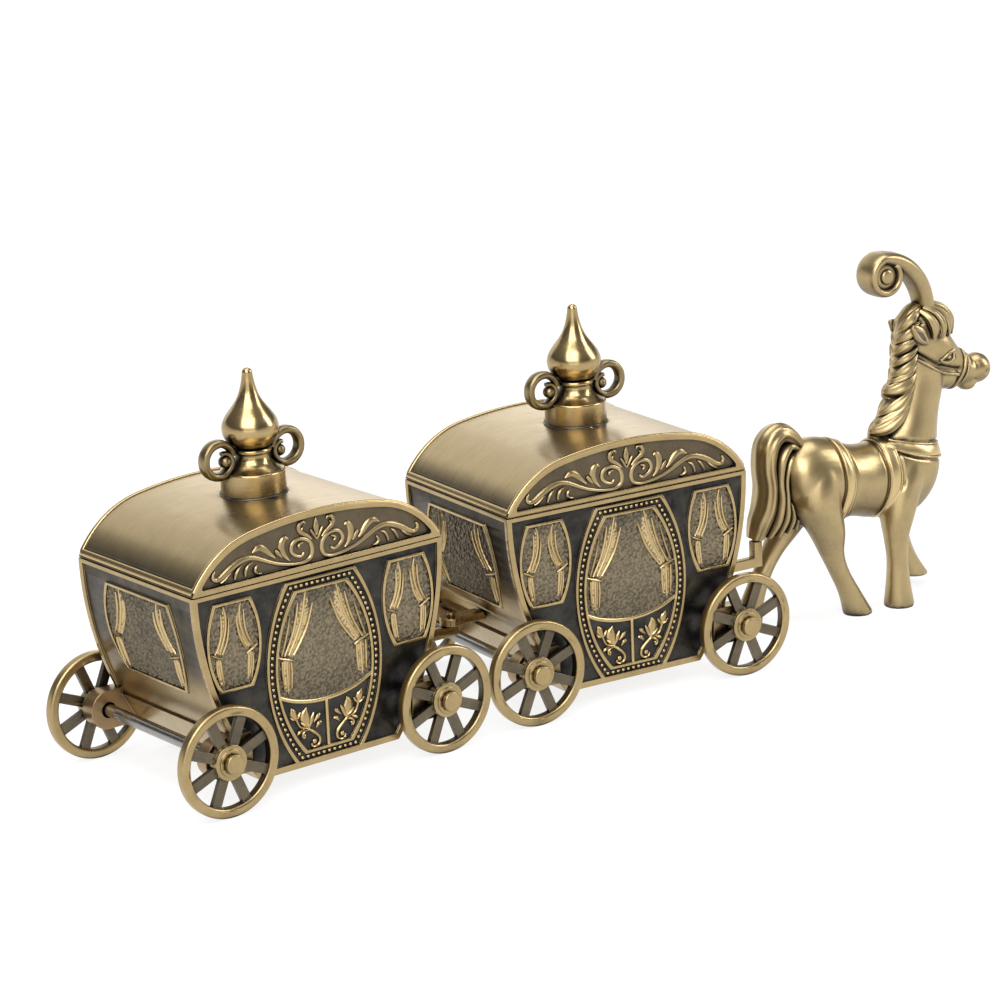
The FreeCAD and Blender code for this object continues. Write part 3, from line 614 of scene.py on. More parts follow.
@dataclass(frozen=True)
class Wall:
    """A carriage wall as a drawing board, in millimetres from the carriage's middle and the floor."""

    face: Face
    sign: int
    ground: float
    bow_radius: float = 66.0
    bow_height: float = 42.9
    stations: int = 4
    thin_share: float = 0.35
    dome_sides: int = 8
    dome_rings: int = 6

    def point(self, across: float, up: float, out: float = 0.0) -> Vector:
        """Find the place of a point of the drawing.

        Args:
            across: Distance sideways from the wall's middle.
            up: Height above the floor.
            out: Distance out of the wall's ground.

        Returns:
            The place in the carriage.
        """
        if self.face is Face.SIDE:
            return Vector((across, self.sign * (self.ground + out), up))
        axis = Vector((self.sign * (self.ground - self.bow_radius), across, self.bow_height))
        return axis + self.normal(up) * (self.bow_radius + out)

    def normal(self, up: float) -> Vector:
        """Find the direction out of the wall.

        Args:
            up: Height above the floor.

        Returns:
            The direction.
        """
        if self.face is Face.SIDE:
            return Vector((0.0, self.sign, 0.0))
        rise = (up - self.bow_height) / self.bow_radius
        return Vector((self.sign * math.sqrt(1.0 - rise * rise), 0.0, rise))

    def ridge(self, bm: BMesh, rows: Rows, rise: float, sides: int = 8) -> None:
        """Raise a rounded strand on the wall.

        Args:
            bm: The mesh to add to.
            rows: Across, up and half width of each point.
            rise: Height of the strand above the ground.
            sides: Corners round the strand.
        """
        line = spline(rows, self.stations)
        widest = max(row[2] for row in line)
        spine = [self.point(row[0], row[1]) for row in line]
        full = 1.0 - self.thin_share
        halves = [(row[2], rise * (self.thin_share + full * row[2] / widest)) for row in line]
        sweep(bm, strand_rings(spine, halves, [self.normal(row[1]) for row in line]), sides)

    def dome(self, bm: BMesh, across: float, up: float, radius: float, rise: float) -> None:
        """Raise a half-sunk ball on the wall.

        Args:
            bm: The mesh to add to.
            across: Distance sideways from the wall's middle.
            up: Height above the floor.
            radius: The ball's radius on the wall.
            rise: Its height out of the ground.
        """
        out = self.normal(up)
        side = out.cross(UP).normalized()
        axes = Matrix((side * radius, side.cross(out) * radius, out * rise)).transposed().to_4x4()
        axes.translation = self.point(across, up)
        bmesh.ops.create_uvsphere(bm, u_segments=self.dome_sides, v_segments=self.dome_rings, radius=1.0,
                                  matrix=axes)


@dataclass(frozen=True)
class Barrel:
    """A window or door outline with bowed sides, wider at its middle, in millimetres."""

    half_top: float
    half_middle: float
    half_foot: float
    foot: float
    top: float
    middle_share: float
    steps: int = 40

    def half_width(self, up: float) -> float:
        """Find half the outline's width.

        Args:
            up: Height above the floor.

        Returns:
            Half the width there.
        """
        middle = self.foot + (self.top - self.foot) * self.middle_share
        rows = ((self.foot, self.half_foot), (middle, self.half_middle), (self.top, self.half_top))
        total = 0.0
        for number, (height, half) in enumerate(rows):
            others = [row[0] for place, row in enumerate(rows) if place != number]
            total += half * math.prod((up - other) / (height - other) for other in others)
        return total

    def outline(self) -> list[tuple[float, float]]:
        """Draw the outline from the middle of its foot and back to it.

        Returns:
            Its points, across and up.
        """
        heights = [self.foot + (self.top - self.foot) * n / self.steps for n in range(self.steps + 1)]
        right = [(self.half_width(up), up) for up in heights]
        left = [(-across, up) for across, up in reversed(right)]
        return [(0.0, self.foot), *right, *left, (0.0, self.foot)]

    def spaced(self, pitch: float) -> list[tuple[float, float]]:
        """Set points evenly round the outline.

        Args:
            pitch: About how far apart they are.

        Returns:
            The points, across and up.
        """
        line = [Vector((*point, 0.0)) for point in self.outline()]
        lengths = [(b - a).length for a, b in zip(line, line[1:])]
        count = round(sum(lengths) / pitch)
        gap = sum(lengths) / count
        made, walked, due = [], 0.0, 0.0
        for start, end, length in zip(line, line[1:], lengths):
            while due < walked + length - 1e-6 and len(made) < count:
                spot = start.lerp(end, (due - walked) / length) if length else start
                made.append((spot.x, spot.y))
                due += gap
            walked += length
        return made


GABLE_STRANDS: Sequence[Rows] = (
    ((3.15, 46.45, .18), (3.6, 45.85, .24), (4.4, 45.9, .28), (5.3, 46.35, .31), (5.95, 47.1, .33),
     (6.0, 48.0, .33), (5.4, 48.9, .31), (4.2, 49.3, .31), (2.8, 49.05, .31), (1.75, 48.35, .33),
     (1.2, 47.3, .34), (1.15, 46.1, .34), (1.65, 45.05, .34), (2.9, 44.5, .33), (4.6, 44.5, .31),
     (6.5, 44.75, .31), (9.0, 45.4, .32), (11.0, 46.2, .33), (13.0, 47.15, .35), (14.6, 47.8, .38),
     (16.2, 48.0, .43), (18.0, 47.65, .50), (20.0, 46.75, .52), (21.8, 45.65, .48), (23.0, 45.15, .40),
     (23.85, 45.5, .34), (24.0, 46.3, .28), (23.5, 46.95, .16)),
    ((3.3, 48.45, .12), (3.9, 48.3, .23), (4.35, 47.9, .25), (3.9, 47.45, .12)),
    ((1.25, 48.75, .20), (1.9, 49.4, .28), (2.8, 49.95, .35), (3.6, 50.5, .41), (4.05, 51.2, .40),
     (3.95, 51.9, .36), (3.4, 52.4, .29), (2.75, 52.4, .22), (2.45, 52.0, .12)),
    ((3.05, 51.5, .10), (3.45, 51.2, .20), (3.5, 50.75, .15)),
    ((0.05, 48.5, .12), (0.6, 49.4, .26), (1.1, 50.2, .24), (1.4, 50.7, .10)),
    ((6.5, 45.5, .14), (7.3, 46.4, .31), (7.95, 47.5, .48), (8.15, 48.6, .56), (7.85, 49.6, .50),
     (7.2, 50.15, .36), (6.6, 49.9, .15)),
    ((8.3, 46.6, .16), (8.9, 47.3, .36), (9.45, 47.95, .30), (9.65, 48.3, .10)),
    ((9.8, 46.8, .16), (10.8, 47.7, .36), (11.9, 48.8, .52), (13.0, 49.45, .54), (14.0, 49.35, .42),
     (14.9, 48.85, .10)),
    ((13.1, 44.5, .12), (13.9, 44.6, .26), (14.45, 45.1, .31), (14.3, 45.8, .24), (13.9, 46.2, .10)),
    ((15.0, 46.95, .10), (16.0, 46.5, .27), (16.6, 45.6, .31), (16.75, 44.65, .16)),
    ((17.5, 46.9, .10), (18.3, 46.25, .28), (18.85, 45.4, .31), (19.15, 44.6, .16)),
    ((19.9, 46.2, .10), (20.7, 45.5, .26), (21.5, 44.9, .28), (22.4, 44.55, .14)),
)
LOOP_TURNS: Rows = (
    (172.0, 3.45, .62), (140.0, 3.3, .72), (100.0, 3.3, .80), (60.0, 3.3, .84), (20.0, 3.3, .85),
    (-20.0, 3.3, .85), (-60.0, 3.3, .84), (-100.0, 3.3, .80), (-135.0, 3.2, .74), (-165.0, 3.0, .66),
    (-190.0, 2.6, .58), (-212.0, 2.0, .50), (-235.0, 1.3, .42),
)
GABLE_BUD: Rows = ((0.0, 49.3, .25), (0.0, 50.1, .60), (0.0, 51.0, .72), (0.0, 51.9, .48),
                   (0.0, 52.8, .08))
DOOR_FOLDS: Sequence[Rows] = (
    ((2.1, 36.3, .20), (2.9, 34.0, .30), (3.8, 31.7, .35), (5.2, 29.4, .37), (7.1, 26.9, .30)),
    ((3.6, 39.0, .18), (4.0, 37.2, .30), (4.5, 35.0, .35), (5.3, 32.6, .37), (6.5, 30.0, .37),
     (8.2, 27.1, .30)),
    ((5.5, 37.0, .18), (5.9, 35.0, .30), (6.5, 32.8, .35), (7.5, 30.2, .35), (9.2, 27.1, .28)),
    ((7.5, 35.0, .10), (8.0, 33.0, .20), (8.8, 30.3, .25), (9.9, 27.4, .20)),
    ((11.0, 27.3, .20), (9.8, 26.75, .30), (8.4, 26.3, .36), (7.2, 25.8, .22)),
    ((9.85, 26.2, .22), (9.85, 23.5, .30), (9.7, 20.4, .16)),
    ((8.7, 26.1, .30), (8.75, 23.5, .42), (8.8, 19.6, .20)),
    ((7.75, 25.8, .22), (7.7, 23.5, .36), (7.95, 20.4, .20)),
)
DOOR_CLOTH: Sequence[Rows] = (
    ((3.6, 38.8, .40), (3.9, 36.8, 1.05), (4.3, 34.6, 1.55), (5.0, 32.6, 1.60),
     (6.5, 29.5, 1.50), (8.2, 27.0, 1.15)),
    ((8.7, 26.2, 1.00), (8.75, 23.5, 1.20), (8.8, 20.0, .70)),
)
DOOR_RAIL: Rows = ((-11.0, 19.2, .46), (-8.0, 17.8, .46), (-4.0, 16.8, .46), (0.0, 16.5, .46),
                   (4.0, 16.8, .46), (8.0, 17.8, .46), (11.0, 19.2, .46))
DOOR_MULLION: Rows = ((0.0, 16.4, .42), (0.0, 11.6, .42), (0.0, 6.9, .42))
DOOR_SPRIG: Sequence[Rows] = (
    ((4.05, 8.35, .18), (3.85, 7.7, .24), (3.2, 7.45, .26), (2.45, 7.7, .27), (2.05, 8.35, .28),
     (2.1, 9.15, .30), (2.7, 9.9, .32), (3.6, 10.65, .32), (4.35, 11.25, .26), (4.5, 11.8, .20)),
    ((4.6, 11.8, .30), (4.9, 12.8, .72), (5.15, 13.8, .86), (5.1, 14.7, .62), (4.8, 15.7, .08)),
    ((4.3, 11.8, .18), (3.95, 12.7, .36), (3.55, 13.6, .32), (3.2, 14.4, .08)),
    ((4.8, 12.0, .18), (5.5, 12.35, .34), (6.1, 12.85, .26), (6.4, 13.15, .06)),
    ((4.6, 11.5, .16), (5.6, 11.75, .20), (6.5, 12.2, .22), (7.0, 13.0, .24), (7.35, 13.9, .22)),
    ((7.4, 13.8, .26), (7.75, 14.7, .60), (8.1, 15.6, .56), (8.4, 16.4, .08)),
    ((7.2, 13.9, .15), (6.75, 14.5, .28), (6.35, 15.15, .08)),
    ((7.6, 13.9, .17), (8.3, 14.2, .26), (8.9, 14.75, .07)),
    ((3.3, 12.45, .10), (2.75, 12.95, .28), (2.15, 13.5, .36), (1.75, 13.85, .14)),
    ((2.75, 11.2, .12), (2.3, 11.8, .34), (1.8, 12.1, .32), (1.4, 12.0, .12)),
    ((4.5, 11.25, .18), (5.3, 11.15, .24), (5.95, 10.75, .26), (6.1, 10.2, .24), (5.8, 9.75, .2),
     (5.4, 9.85, .14)),
    ((5.5, 11.6, .12), (6.1, 11.4, .26), (6.8, 11.05, .34), (7.3, 10.75, .12)),
)
SPRIG_BALLS: Rows = ((3.3, 8.5, .58), (5.6, 10.25, .34))
WINDOW_FOLDS: Sequence[Rows] = (
    ((2.6, 38.6, .18), (2.55, 36.5, .29), (2.85, 34.3, .33), (3.6, 32.3, .33), (4.4, 31.0, .22)),
    ((2.0, 40.0, .18), (1.6, 38.4, .29), (1.65, 36.0, .33), (2.2, 33.8, .35), (3.2, 31.6, .28)),
    ((0.85, 37.6, .15), (1.05, 35.4, .28), (1.6, 33.0, .33), (2.75, 30.7, .24)),
    ((5.3, 31.1, .18), (4.2, 30.5, .29), (2.7, 29.8, .20)),
    ((4.1, 29.8, .20), (4.05, 27.5, .30), (3.6, 25.0, .16)),
    ((3.25, 29.8, .28), (3.1, 27.6, .42), (2.7, 24.7, .18)),
)
WINDOW_CLOTH: Sequence[Rows] = (
    ((1.8, 39.6, .30), (1.7, 37.4, .75), (2.0, 34.6, 1.00), (2.7, 32.6, 1.15), (3.5, 31.0, .85)),
    ((3.65, 29.9, .70), (3.55, 27.5, .80), (3.15, 24.9, .45)),
)
END_FOLDS: Sequence[Rows] = (
    ((7.8, 38.4, .18), (7.8, 36.0, .30), (8.2, 34.0, .35), (9.3, 31.6, .35), (10.6, 29.8, .24)),
    ((6.6, 39.2, .18), (6.4, 37.0, .30), (6.7, 35.0, .35), (7.7, 32.4, .37), (9.3, 29.8, .28)),
    ((5.2, 37.2, .16), (5.3, 35.2, .30), (6.1, 32.9, .35), (8.1, 29.9, .26)),
    ((12.1, 29.6, .20), (10.4, 29.0, .31), (8.1, 28.4, .24)),
    ((10.9, 28.4, .22), (10.8, 25.6, .34), (10.4, 23.1, .20)),
    ((9.5, 28.4, .32), (9.4, 25.4, .50), (9.2, 22.7, .22)),
)
END_CLOTH: Sequence[Rows] = (
    ((6.4, 38.8, .40), (6.4, 37.0, .95), (6.8, 34.8, 1.25), (7.9, 32.0, 1.50), (9.4, 29.8, 1.15)),
    ((10.1, 28.5, .95), (10.0, 25.5, 1.10), (9.7, 22.9, .65)),
)


@dataclass
class Carriage:
    """One carriage: its box, its lid and all the relief on them, in millimetres and degrees."""

    name: str
    shop: MaterialShop
    lid_turned: bool
    axle_offset: float = 25.75
    wheel_radius: float = 11.0
    hub_radius: float = 3.6
    rim_inner: float = 9.05
    rod_half: float = 22.0
    finial_offset: float = 0.7
    loop_reach: float = 7.85
    loop_height: float = 62.05
    loop_width: float = 1.55
    loop_steps: int = 4
    loop_sides: int = 16
    loop_square: float = 0.7
    curl_in: float = 1.5
    curl_drop: float = 0.55
    curl_halves: Triple = (1.25, 1.4, 1.25)
    side_ground: float = 19.6
    gable_ground: float = 19.3
    gable_frame: float = 19.9
    end_ground: float = 28.8
    inner_half: float = 19.0
    inner_depth: float = 0.6
    inner_foot: float = 4.5
    copper_beyond: float = 1.4
    panel_play: float = 0.1
    end_play: float = 0.12
    panel_facing: float = 0.9
    end_facing: float = 0.7
    under_facing: float = -0.5
    lid_cuts: tuple[float, ...] = (-14.0, -9.0, -6.5, -4.0, 4.0, 6.5, 9.0, 14.0)
    window_centre: float = 20.5
    relief_rise: float = 0.5
    bud_sides: int = 12
    rail_rise: float = 0.4
    rail_foot: float = 16.4
    rail_sag: float = 2.8
    rail_half: float = 11.0
    sprig_swell: float = 1.25
    sprig_ball_rise: float = 0.45
    gable_swell: float = 1.3
    fold_rise: float = 0.52
    cloth_rise: float = 0.27
    border_place: float = 19.58
    border_half: float = 0.50
    eave_half: float = 0.72
    border_rise: float = 0.32
    eave_turn: float = 26.0
    eave_shares: tuple[float, ...] = (-1.0, -0.6, 0.6, 1.0)
    arch_steps: int = 72
    # A dark line of painted shade with patina, in the corner inside the border.
    shade_line_half: float = 0.17
    shade_line_rise: float = 0.07
    shade_line_turn: float = 1.75
    # A dark ring of painted shade with patina, round the drum's foot.
    shade_ring_radius: float = 6.55
    shade_ring_half: float = 0.2
    shade_ring_rise: float = 0.3
    shade_ring_step: int = 5
    strand_sides: int = 12
    strand_square: float = 0.8
    roof_middle: float = 30.0
    roof_reach: float = 60.0
    bead_radius: float = 0.41
    bead_pitch: float = 1.27
    pebble_pitch: float = 0.18
    pebble_rise: float = 0.27
    pebble_size: float = 0.60
    pebble_crease: float = 80.0
    pebble_foot: float = 0.03
    pebble_tight: float = 1.45
    pebble_polish: float = 0.38
    pebble_shift: float = 7.0
    middle_polish: float = 0.24
    end_polish: float = 0.06
    polish_slope: float = 2.2
    bead_line: Barrel = Barrel(6.93, 12.23, 6.43, 5.88, 40.22, 0.56)
    door_glass: Barrel = Barrel(5.95, 11.25, 5.45, 6.85, 39.25, 0.56)
    window_glass: Barrel = Barrel(4.0, 5.9, 3.55, 23.4, 40.5, 0.53)
    end_glass: Barrel = Barrel(10.6, 12.7, 10.3, 21.6, 39.6, 0.53)
    place: Matrix = field(init=False)

    def __post_init__(self) -> None:
        """Find the carriage's place from its two axles."""
        pivots = {joint["name"]: Vector(joint["pos_m"]) for joint in frame["joints"] if "pos_m" in joint}
        fore, aft = pivots[f"{self.name}_fore_spin"], pivots[f"{self.name}_aft_spin"]
        ahead = fore - aft
        middle = (fore + aft) / 2
        turn = Matrix.Rotation(math.atan2(ahead.y, ahead.x), 4, "Z")
        self.place = Matrix.Translation((middle.x, middle.y, 0.0)) @ turn @ Matrix.Scale(MM, 4)

    @property
    def finial_place(self) -> float:
        """Return how far ahead of the carriage's middle the finial stands."""
        return -self.finial_offset if self.lid_turned else self.finial_offset

    def sides(self) -> list[Wall]:
        """Return the two side walls at the ground of their panels."""
        return [Wall(Face.SIDE, sign, self.side_ground) for sign in (-1, 1)]

    def ends(self) -> list[Wall]:
        """Return the two end walls at the ground of their panels."""
        return [Wall(Face.END, sign, self.end_ground) for sign in (-1, 1)]

    def build(self) -> None:
        """Make every piece of the carriage."""
        self.castings()
        self.loops()
        self.pebbles()
        self.curtains()
        self.door_work()
        self.gable_scrolls()
        self.roof_border()

    def hang(self, name: str, bm: BMesh, tone: Tone, on_lid: bool = False,
             stands_for: Sequence[str] = (), crease: float = 50.0) -> None:
        """Put one piece on the box or on the lid.

        Args:
            name: What follows the carriage's name in the piece's own.
            bm: Its mesh in millimetres, freed here.
            tone: Its finish.
            on_lid: Whether it rides on the lid.
            stands_for: Nodes that it replaces.
            crease: Angle in degrees above which an edge stays sharp.
        """
        body, slot = ("lid_set", "roof_brass") if on_lid else ("wagon", "carriage_brass")
        put(f"{self.name}_{name}", bm, self.place, f"{self.name}_{body}", [self.shop.get(tone)],
            stands_for, crease)

    def cast(self, node: str, name: str, body: str, slot: str, tones: tuple[Tone, ...],
             choose: Callable[[Vector, Vector], Tone], **shaping: object) -> None:
        """Make one casting, with the carriage's name before the node's, the piece's and the body's."""
        Casting(f"{self.name}_{node}", f"{self.name}_{name}", f"{self.name}_{body}", slot, self.place,
                self.shop, tones, choose, **shaping).build()

    def castings(self) -> None:
        """Make the softened box, lid, hitch pieces, axles and wheels in place of their plain nodes."""
        self.cast("box", "box_casting", "wagon", "carriage_brass",
                  (Tone.BRIGHT, Tone.GROUND, Tone.INSIDE, Tone.END, Tone.COPPER), self.box_tone)
        self.cast("lid", "lid_casting", "lid_set", "roof_brass",
                  (Tone.ROOF, Tone.GABLE, Tone.INSIDE, Tone.BRIGHT), self.lid_tone,
                  softening=0.25, parted=self.lid_cuts, flatness=0.05)
        for node, name in (("hitch_bar", "bar_casting"), ("tow_eye", "eye_casting")):
            if f"{self.name}_{node}" in frame["nodes"]:
                self.cast(node, name, "wagon", "carriage_brass", (Tone.BRIGHT,), self.bar_tone)
        for end in ("fore", "aft"):
            self.cast(f"{end}_axle", f"{end}_rod", f"{end}_wheelset", "axle_steel",
                      (Tone.STEEL, Tone.WHEEL), self.rod_tone, softening=0.1)
            for hand in ("left", "right"):
                node = f"{end}_{hand}_wheel"
                self.cast(node, f"{node}_casting", f"{end}_wheelset", "wheel_brass",
                          (Tone.WHEEL, Tone.SPOKE), self.wheel_tone, softening=0.12)

    def box_tone(self, centre: Vector, normal: Vector) -> Tone:
        """Choose the finish of a face of the box.

        Args:
            centre: The face's middle.
            normal: The direction out of it.

        Returns:
            Copper outside the ends, and else inner, panel ground, end panel or bright metal.
        """
        depth = self.ends()[1].point(0.0, centre.z).x - abs(centre.x)
        between = abs(centre.y) < self.inner_half
        if depth < -self.copper_beyond:
            return Tone.COPPER
        if between and depth > self.inner_depth and centre.z > self.inner_foot:
            return Tone.INSIDE
        if abs(normal.y) > self.panel_facing and abs(abs(centre.y) - self.side_ground) < self.panel_play:
            return Tone.GROUND
        on_end = between and abs(depth) < self.end_play and abs(normal.x) > self.end_facing
        return Tone.END if on_end else Tone.BRIGHT

    def lid_tone(self, centre: Vector, normal: Vector) -> Tone:
        """Choose the finish of a face of the lid.

        Args:
            centre: The face's middle.
            normal: The direction out of it.

        Returns:
            Gable ground, bright gable frame, inner or roof metal.
        """
        if abs(normal.y) > self.panel_facing:
            if abs(abs(centre.y) - self.gable_ground) < self.panel_play:
                return Tone.GABLE
            if abs(centre.y) > self.gable_frame:
                return Tone.BRIGHT
        below = normal.z < self.under_facing and abs(centre.y) < self.inner_half
        return Tone.INSIDE if below else Tone.ROOF

    def bar_tone(self, centre: Vector, normal: Vector) -> Tone:
        """Return bright metal for every face of a hitch piece."""
        return Tone.BRIGHT

    def rod_tone(self, centre: Vector, normal: Vector) -> Tone:
        """Return brass for a face of an axle's head and steel for its rod."""
        return Tone.WHEEL if abs(centre.y) > self.rod_half else Tone.STEEL

    def wheel_tone(self, centre: Vector, normal: Vector) -> Tone:
        """Return bronze for a face of the spokes and bright brass for the rim and the hub."""
        radius = math.hypot(abs(centre.x) - self.axle_offset, centre.z - self.wheel_radius)
        return Tone.SPOKE if self.hub_radius < radius < self.rim_inner else Tone.WHEEL

    def loops(self) -> None:
        """Make the two scrolled rings beside the finial's neck."""
        bm = bmesh.new()
        for hand in HANDS:
            middle = Vector((self.finial_place + hand * self.loop_reach, 0.0, self.loop_height))
            rows = []
            for turn, radius, wide in LOOP_TURNS:
                angle = math.radians(turn)
                rows.append((middle.x + hand * radius * math.cos(angle),
                             middle.z + radius * math.sin(angle), wide))
            line = spline(rows, self.loop_steps)
            spine = [Vector((x, 0.0, z)) for x, z, _ in line]
            outs = [(point - middle).normalized() for point in spine]
            halves = [(self.loop_width * wide, wide) for _, _, wide in line]
            sweep(bm, strand_rings(spine, halves, outs), self.loop_sides, square=self.loop_square)
            ball(bm, middle + Vector((-hand * self.curl_in, 0.0, -self.curl_drop)), self.curl_halves)
        self.hang("scroll_loops", bm, Tone.LOOP, True, (f"{self.name}_finial_loops",))

    def pebbles(self) -> None:
        """Make the grained grounds behind the curtains."""
        bm = bmesh.new()
        bm.verts.layers.float.new("grain")
        for wall in self.sides():
            self.pebble_sheet(bm, wall, self.door_glass, 0.0, self.rail_height)
            for centre in (-self.window_centre, self.window_centre):
                self.pebble_sheet(bm, wall, self.window_glass, centre)
        for wall in self.ends():
            self.pebble_sheet(bm, wall, self.end_glass, 0.0)
        self.hang("pebble_grounds", bm, Tone.PEBBLE, crease=self.pebble_crease)

    def rail_height(self, across: float) -> float:
        """Return the height of the door's sagging rail at a place across it."""
        return self.rail_foot + self.rail_sag * (across / self.rail_half) ** 2

    def pebble_sheet(self, bm: BMesh, wall: Wall, glass: Barrel, centre: float,
                     floor: Callable[[float], float] = lambda across: 0.0) -> None:
        """Lay a sheet of grains inside an outline.

        Args:
            bm: The mesh to add to.
            wall: The wall that it lies on.
            glass: The outline, a little under its frame.
            centre: The outline's place across the wall.
            floor: The lowest height at each place across.
        """
        half = max(glass.half_top, glass.half_middle, glass.half_foot)
        tall = (glass.top - glass.foot) / 2
        middle = (glass.top + glass.foot) / 2
        shape = Matrix.Translation((0.0, middle, 0.0)) @ Matrix.Diagonal((half, tall, 1.0, 1.0))
        sheet = bmesh.new()
        grain = sheet.verts.layers.float.new("grain")
        bmesh.ops.create_grid(sheet, x_segments=round(2 * half / self.pebble_pitch),
                              y_segments=round(2 * tall / self.pebble_pitch), size=1.0, matrix=shape)
        lost = []
        for part in sheet.faces:
            spot = part.calc_center_median()
            if abs(spot.x) > glass.half_width(spot.y) or spot.y < floor(spot.x):
                lost.append(part)
        bmesh.ops.delete(sheet, geom=lost, context="FACES")
        polish = self.middle_polish if wall.face is Face.SIDE else self.end_polish
        for vert in sheet.verts:
            across, up = vert.co.x + centre, vert.co.y
            seed = Vector((across, up, wall.sign * self.pebble_shift)) / self.pebble_size
            swell = max(0.0, 1.0 - (noise.voronoi(seed)[0][0] * self.pebble_tight) ** 2)
            clear = min(1.0 - abs(vert.co.x) / half, (glass.top - up) / tall,
                        (up - max(glass.foot, floor(vert.co.x))) / tall)
            bare = min(1.0, max(0.0, clear * self.polish_slope))
            vert[grain] = self.pebble_polish * swell + polish * bare
            vert.co = wall.point(across, up, self.pebble_foot + self.pebble_rise * swell)
        absorb(bm, sheet)

    def curtains(self) -> None:
        """Make the tied curtains of the door, the side windows and the end windows."""
        bm = bmesh.new()
        for hand in HANDS:
            for wall in self.sides():
                self.drape(bm, wall, DOOR_FOLDS, DOOR_CLOTH, 0.0, hand)
                for centre in (-self.window_centre, self.window_centre):
                    self.drape(bm, wall, WINDOW_FOLDS, WINDOW_CLOTH, centre, hand)
            for wall in self.ends():
                self.drape(bm, wall, END_FOLDS, END_CLOTH, 0.0, hand)
        self.hang("curtains", bm, Tone.CLOTH)

    def drape(self, bm: BMesh, wall: Wall, folds: Sequence[Rows], cloths: Sequence[Rows],
              centre: float, hand: float) -> None:
        """Hang one curtain.

        Args:
            bm: The mesh to add to.
            wall: The wall that it hangs on.
            folds: Raised folds.
            cloths: Low broad cloth between the folds.
            centre: The window's place across the wall.
            hand: 1 for the curtain at the greater side and -1 for its mirror.
        """
        for strands, rise in ((folds, self.fold_rise), (cloths, self.cloth_rise)):
            for rows in strands:
                wall.ridge(bm, drawn(rows, hand, centre), rise)

    def door_work(self) -> None:
        """Make the door's beads, sagging rail, middle post and flower sprigs."""
        beads, sprigs = bmesh.new(), bmesh.new()
        for wall in self.sides():
            for across, up in self.bead_line.spaced(self.bead_pitch):
                wall.dome(beads, across, up, self.bead_radius, self.bead_radius)
            wall.ridge(sprigs, DOOR_RAIL, self.rail_rise)
            wall.ridge(sprigs, DOOR_MULLION, self.rail_rise)
            for hand in HANDS:
                for rows in DOOR_SPRIG:
                    wall.ridge(sprigs, drawn(rows, hand, swell=self.sprig_swell), self.relief_rise)
                for across, up, radius in SPRIG_BALLS:
                    wall.dome(sprigs, hand * across, up, radius, self.sprig_ball_rise)
        self.hang("door_beads", beads, Tone.RELIEF)
        self.hang("door_sprigs", sprigs, Tone.RELIEF)

    def gable_scrolls(self) -> None:
        """Make the scrolled leaf work in both gables of the lid."""
        bm = bmesh.new()
        for sign in (-1, 1):
            wall = Wall(Face.SIDE, sign, self.gable_ground)
            wall.ridge(bm, GABLE_BUD, self.relief_rise, self.bud_sides)
            for hand in HANDS:
                for rows in GABLE_STRANDS:
                    wall.ridge(bm, drawn(rows, hand, swell=self.gable_swell), self.relief_rise)
        self.hang("gable_scrolls", bm, Tone.CLOTH, True)

    def roof_border(self) -> None:
        """Make the roof's raised border and two dark strands of painted shade with patina: a line in the
        corner inside the border and a ring round the drum's foot.
        """
        shell = bmesh.new()
        shell.from_mesh(bpy.data.objects[f"{self.name}_lid"].data)
        bmesh.ops.transform(shell, matrix=self.place.inverted(), verts=shell.verts)
        roof = BVHTree.FromBMesh(shell)
        shell.free()
        # The second strand is a dark line of painted shade with patina, in the corner inside the border.
        border, line = bmesh.new(), bmesh.new()
        for bm, inset, lift, arch_half, eave_half, rise in (
                (border, 0.0, 0.0, self.border_half, self.eave_half, self.border_rise),
                (line, self.border_half, self.shade_line_turn, self.shade_line_half, self.shade_line_half, self.shade_line_rise)):
            across = self.border_place - inset
            low = self.eave_turn + lift
            sweep_turn = HALF_TURN - 2.0 * low
            turns = [low + sweep_turn * n / self.arch_steps for n in range(self.arch_steps + 1)]
            for sign, eave_turn in ((-1.0, low), (1.0, HALF_TURN - low)):
                arch = [self.roof_spot(roof, turn, sign * across) for turn in turns]
                self.strand(bm, arch, arch_half, rise)
                eave = [self.roof_spot(roof, eave_turn, across * share) for share in self.eave_shares]
                self.strand(bm, eave, eave_half, rise)
        # A dark ring of painted shade with patina round the drum's foot.
        foot = []
        for turn in range(0, 360, self.shade_ring_step):
            inside = turned(turn, AHEAD, ACROSS) * self.shade_ring_radius + AHEAD * self.finial_place
            foot.append((struck(roof, inside, UP, self.roof_middle + self.roof_reach)[0], UP))
        self.strand(line, foot, self.shade_ring_half, self.shade_ring_rise, True)
        self.hang("roof_border", border, Tone.BRIGHT, True)
        # The dark strands are painted shade with patina.
        self.hang("roof_shade_line", line, Tone.GROUND, True)

    def strand(self, bm: BMesh, spots: Sequence[Spot], half: float, rise: float,
               closed: bool = False) -> None:
        """Lay a rounded strand on the roof.

        Args:
            bm: The mesh to add to.
            spots: Points of the roof and the directions out of it.
            half: Half the strand's width.
            rise: Its height above the roof.
            closed: Whether it runs round.
        """
        spine, outs = zip(*spots)
        rings = strand_rings(spine, [(half, rise)] * len(spots), outs, closed)
        sweep(bm, rings, self.strand_sides, closed, self.strand_square)

    def roof_spot(self, roof: BVHTree, turn: float, across: float) -> Spot:
        """Return the roof's point and outward direction at an angle from the front and a place across."""
        middle = Vector((0.0, across, self.roof_middle))
        return struck(roof, middle, turned(turn, AHEAD, UP), self.roof_reach)


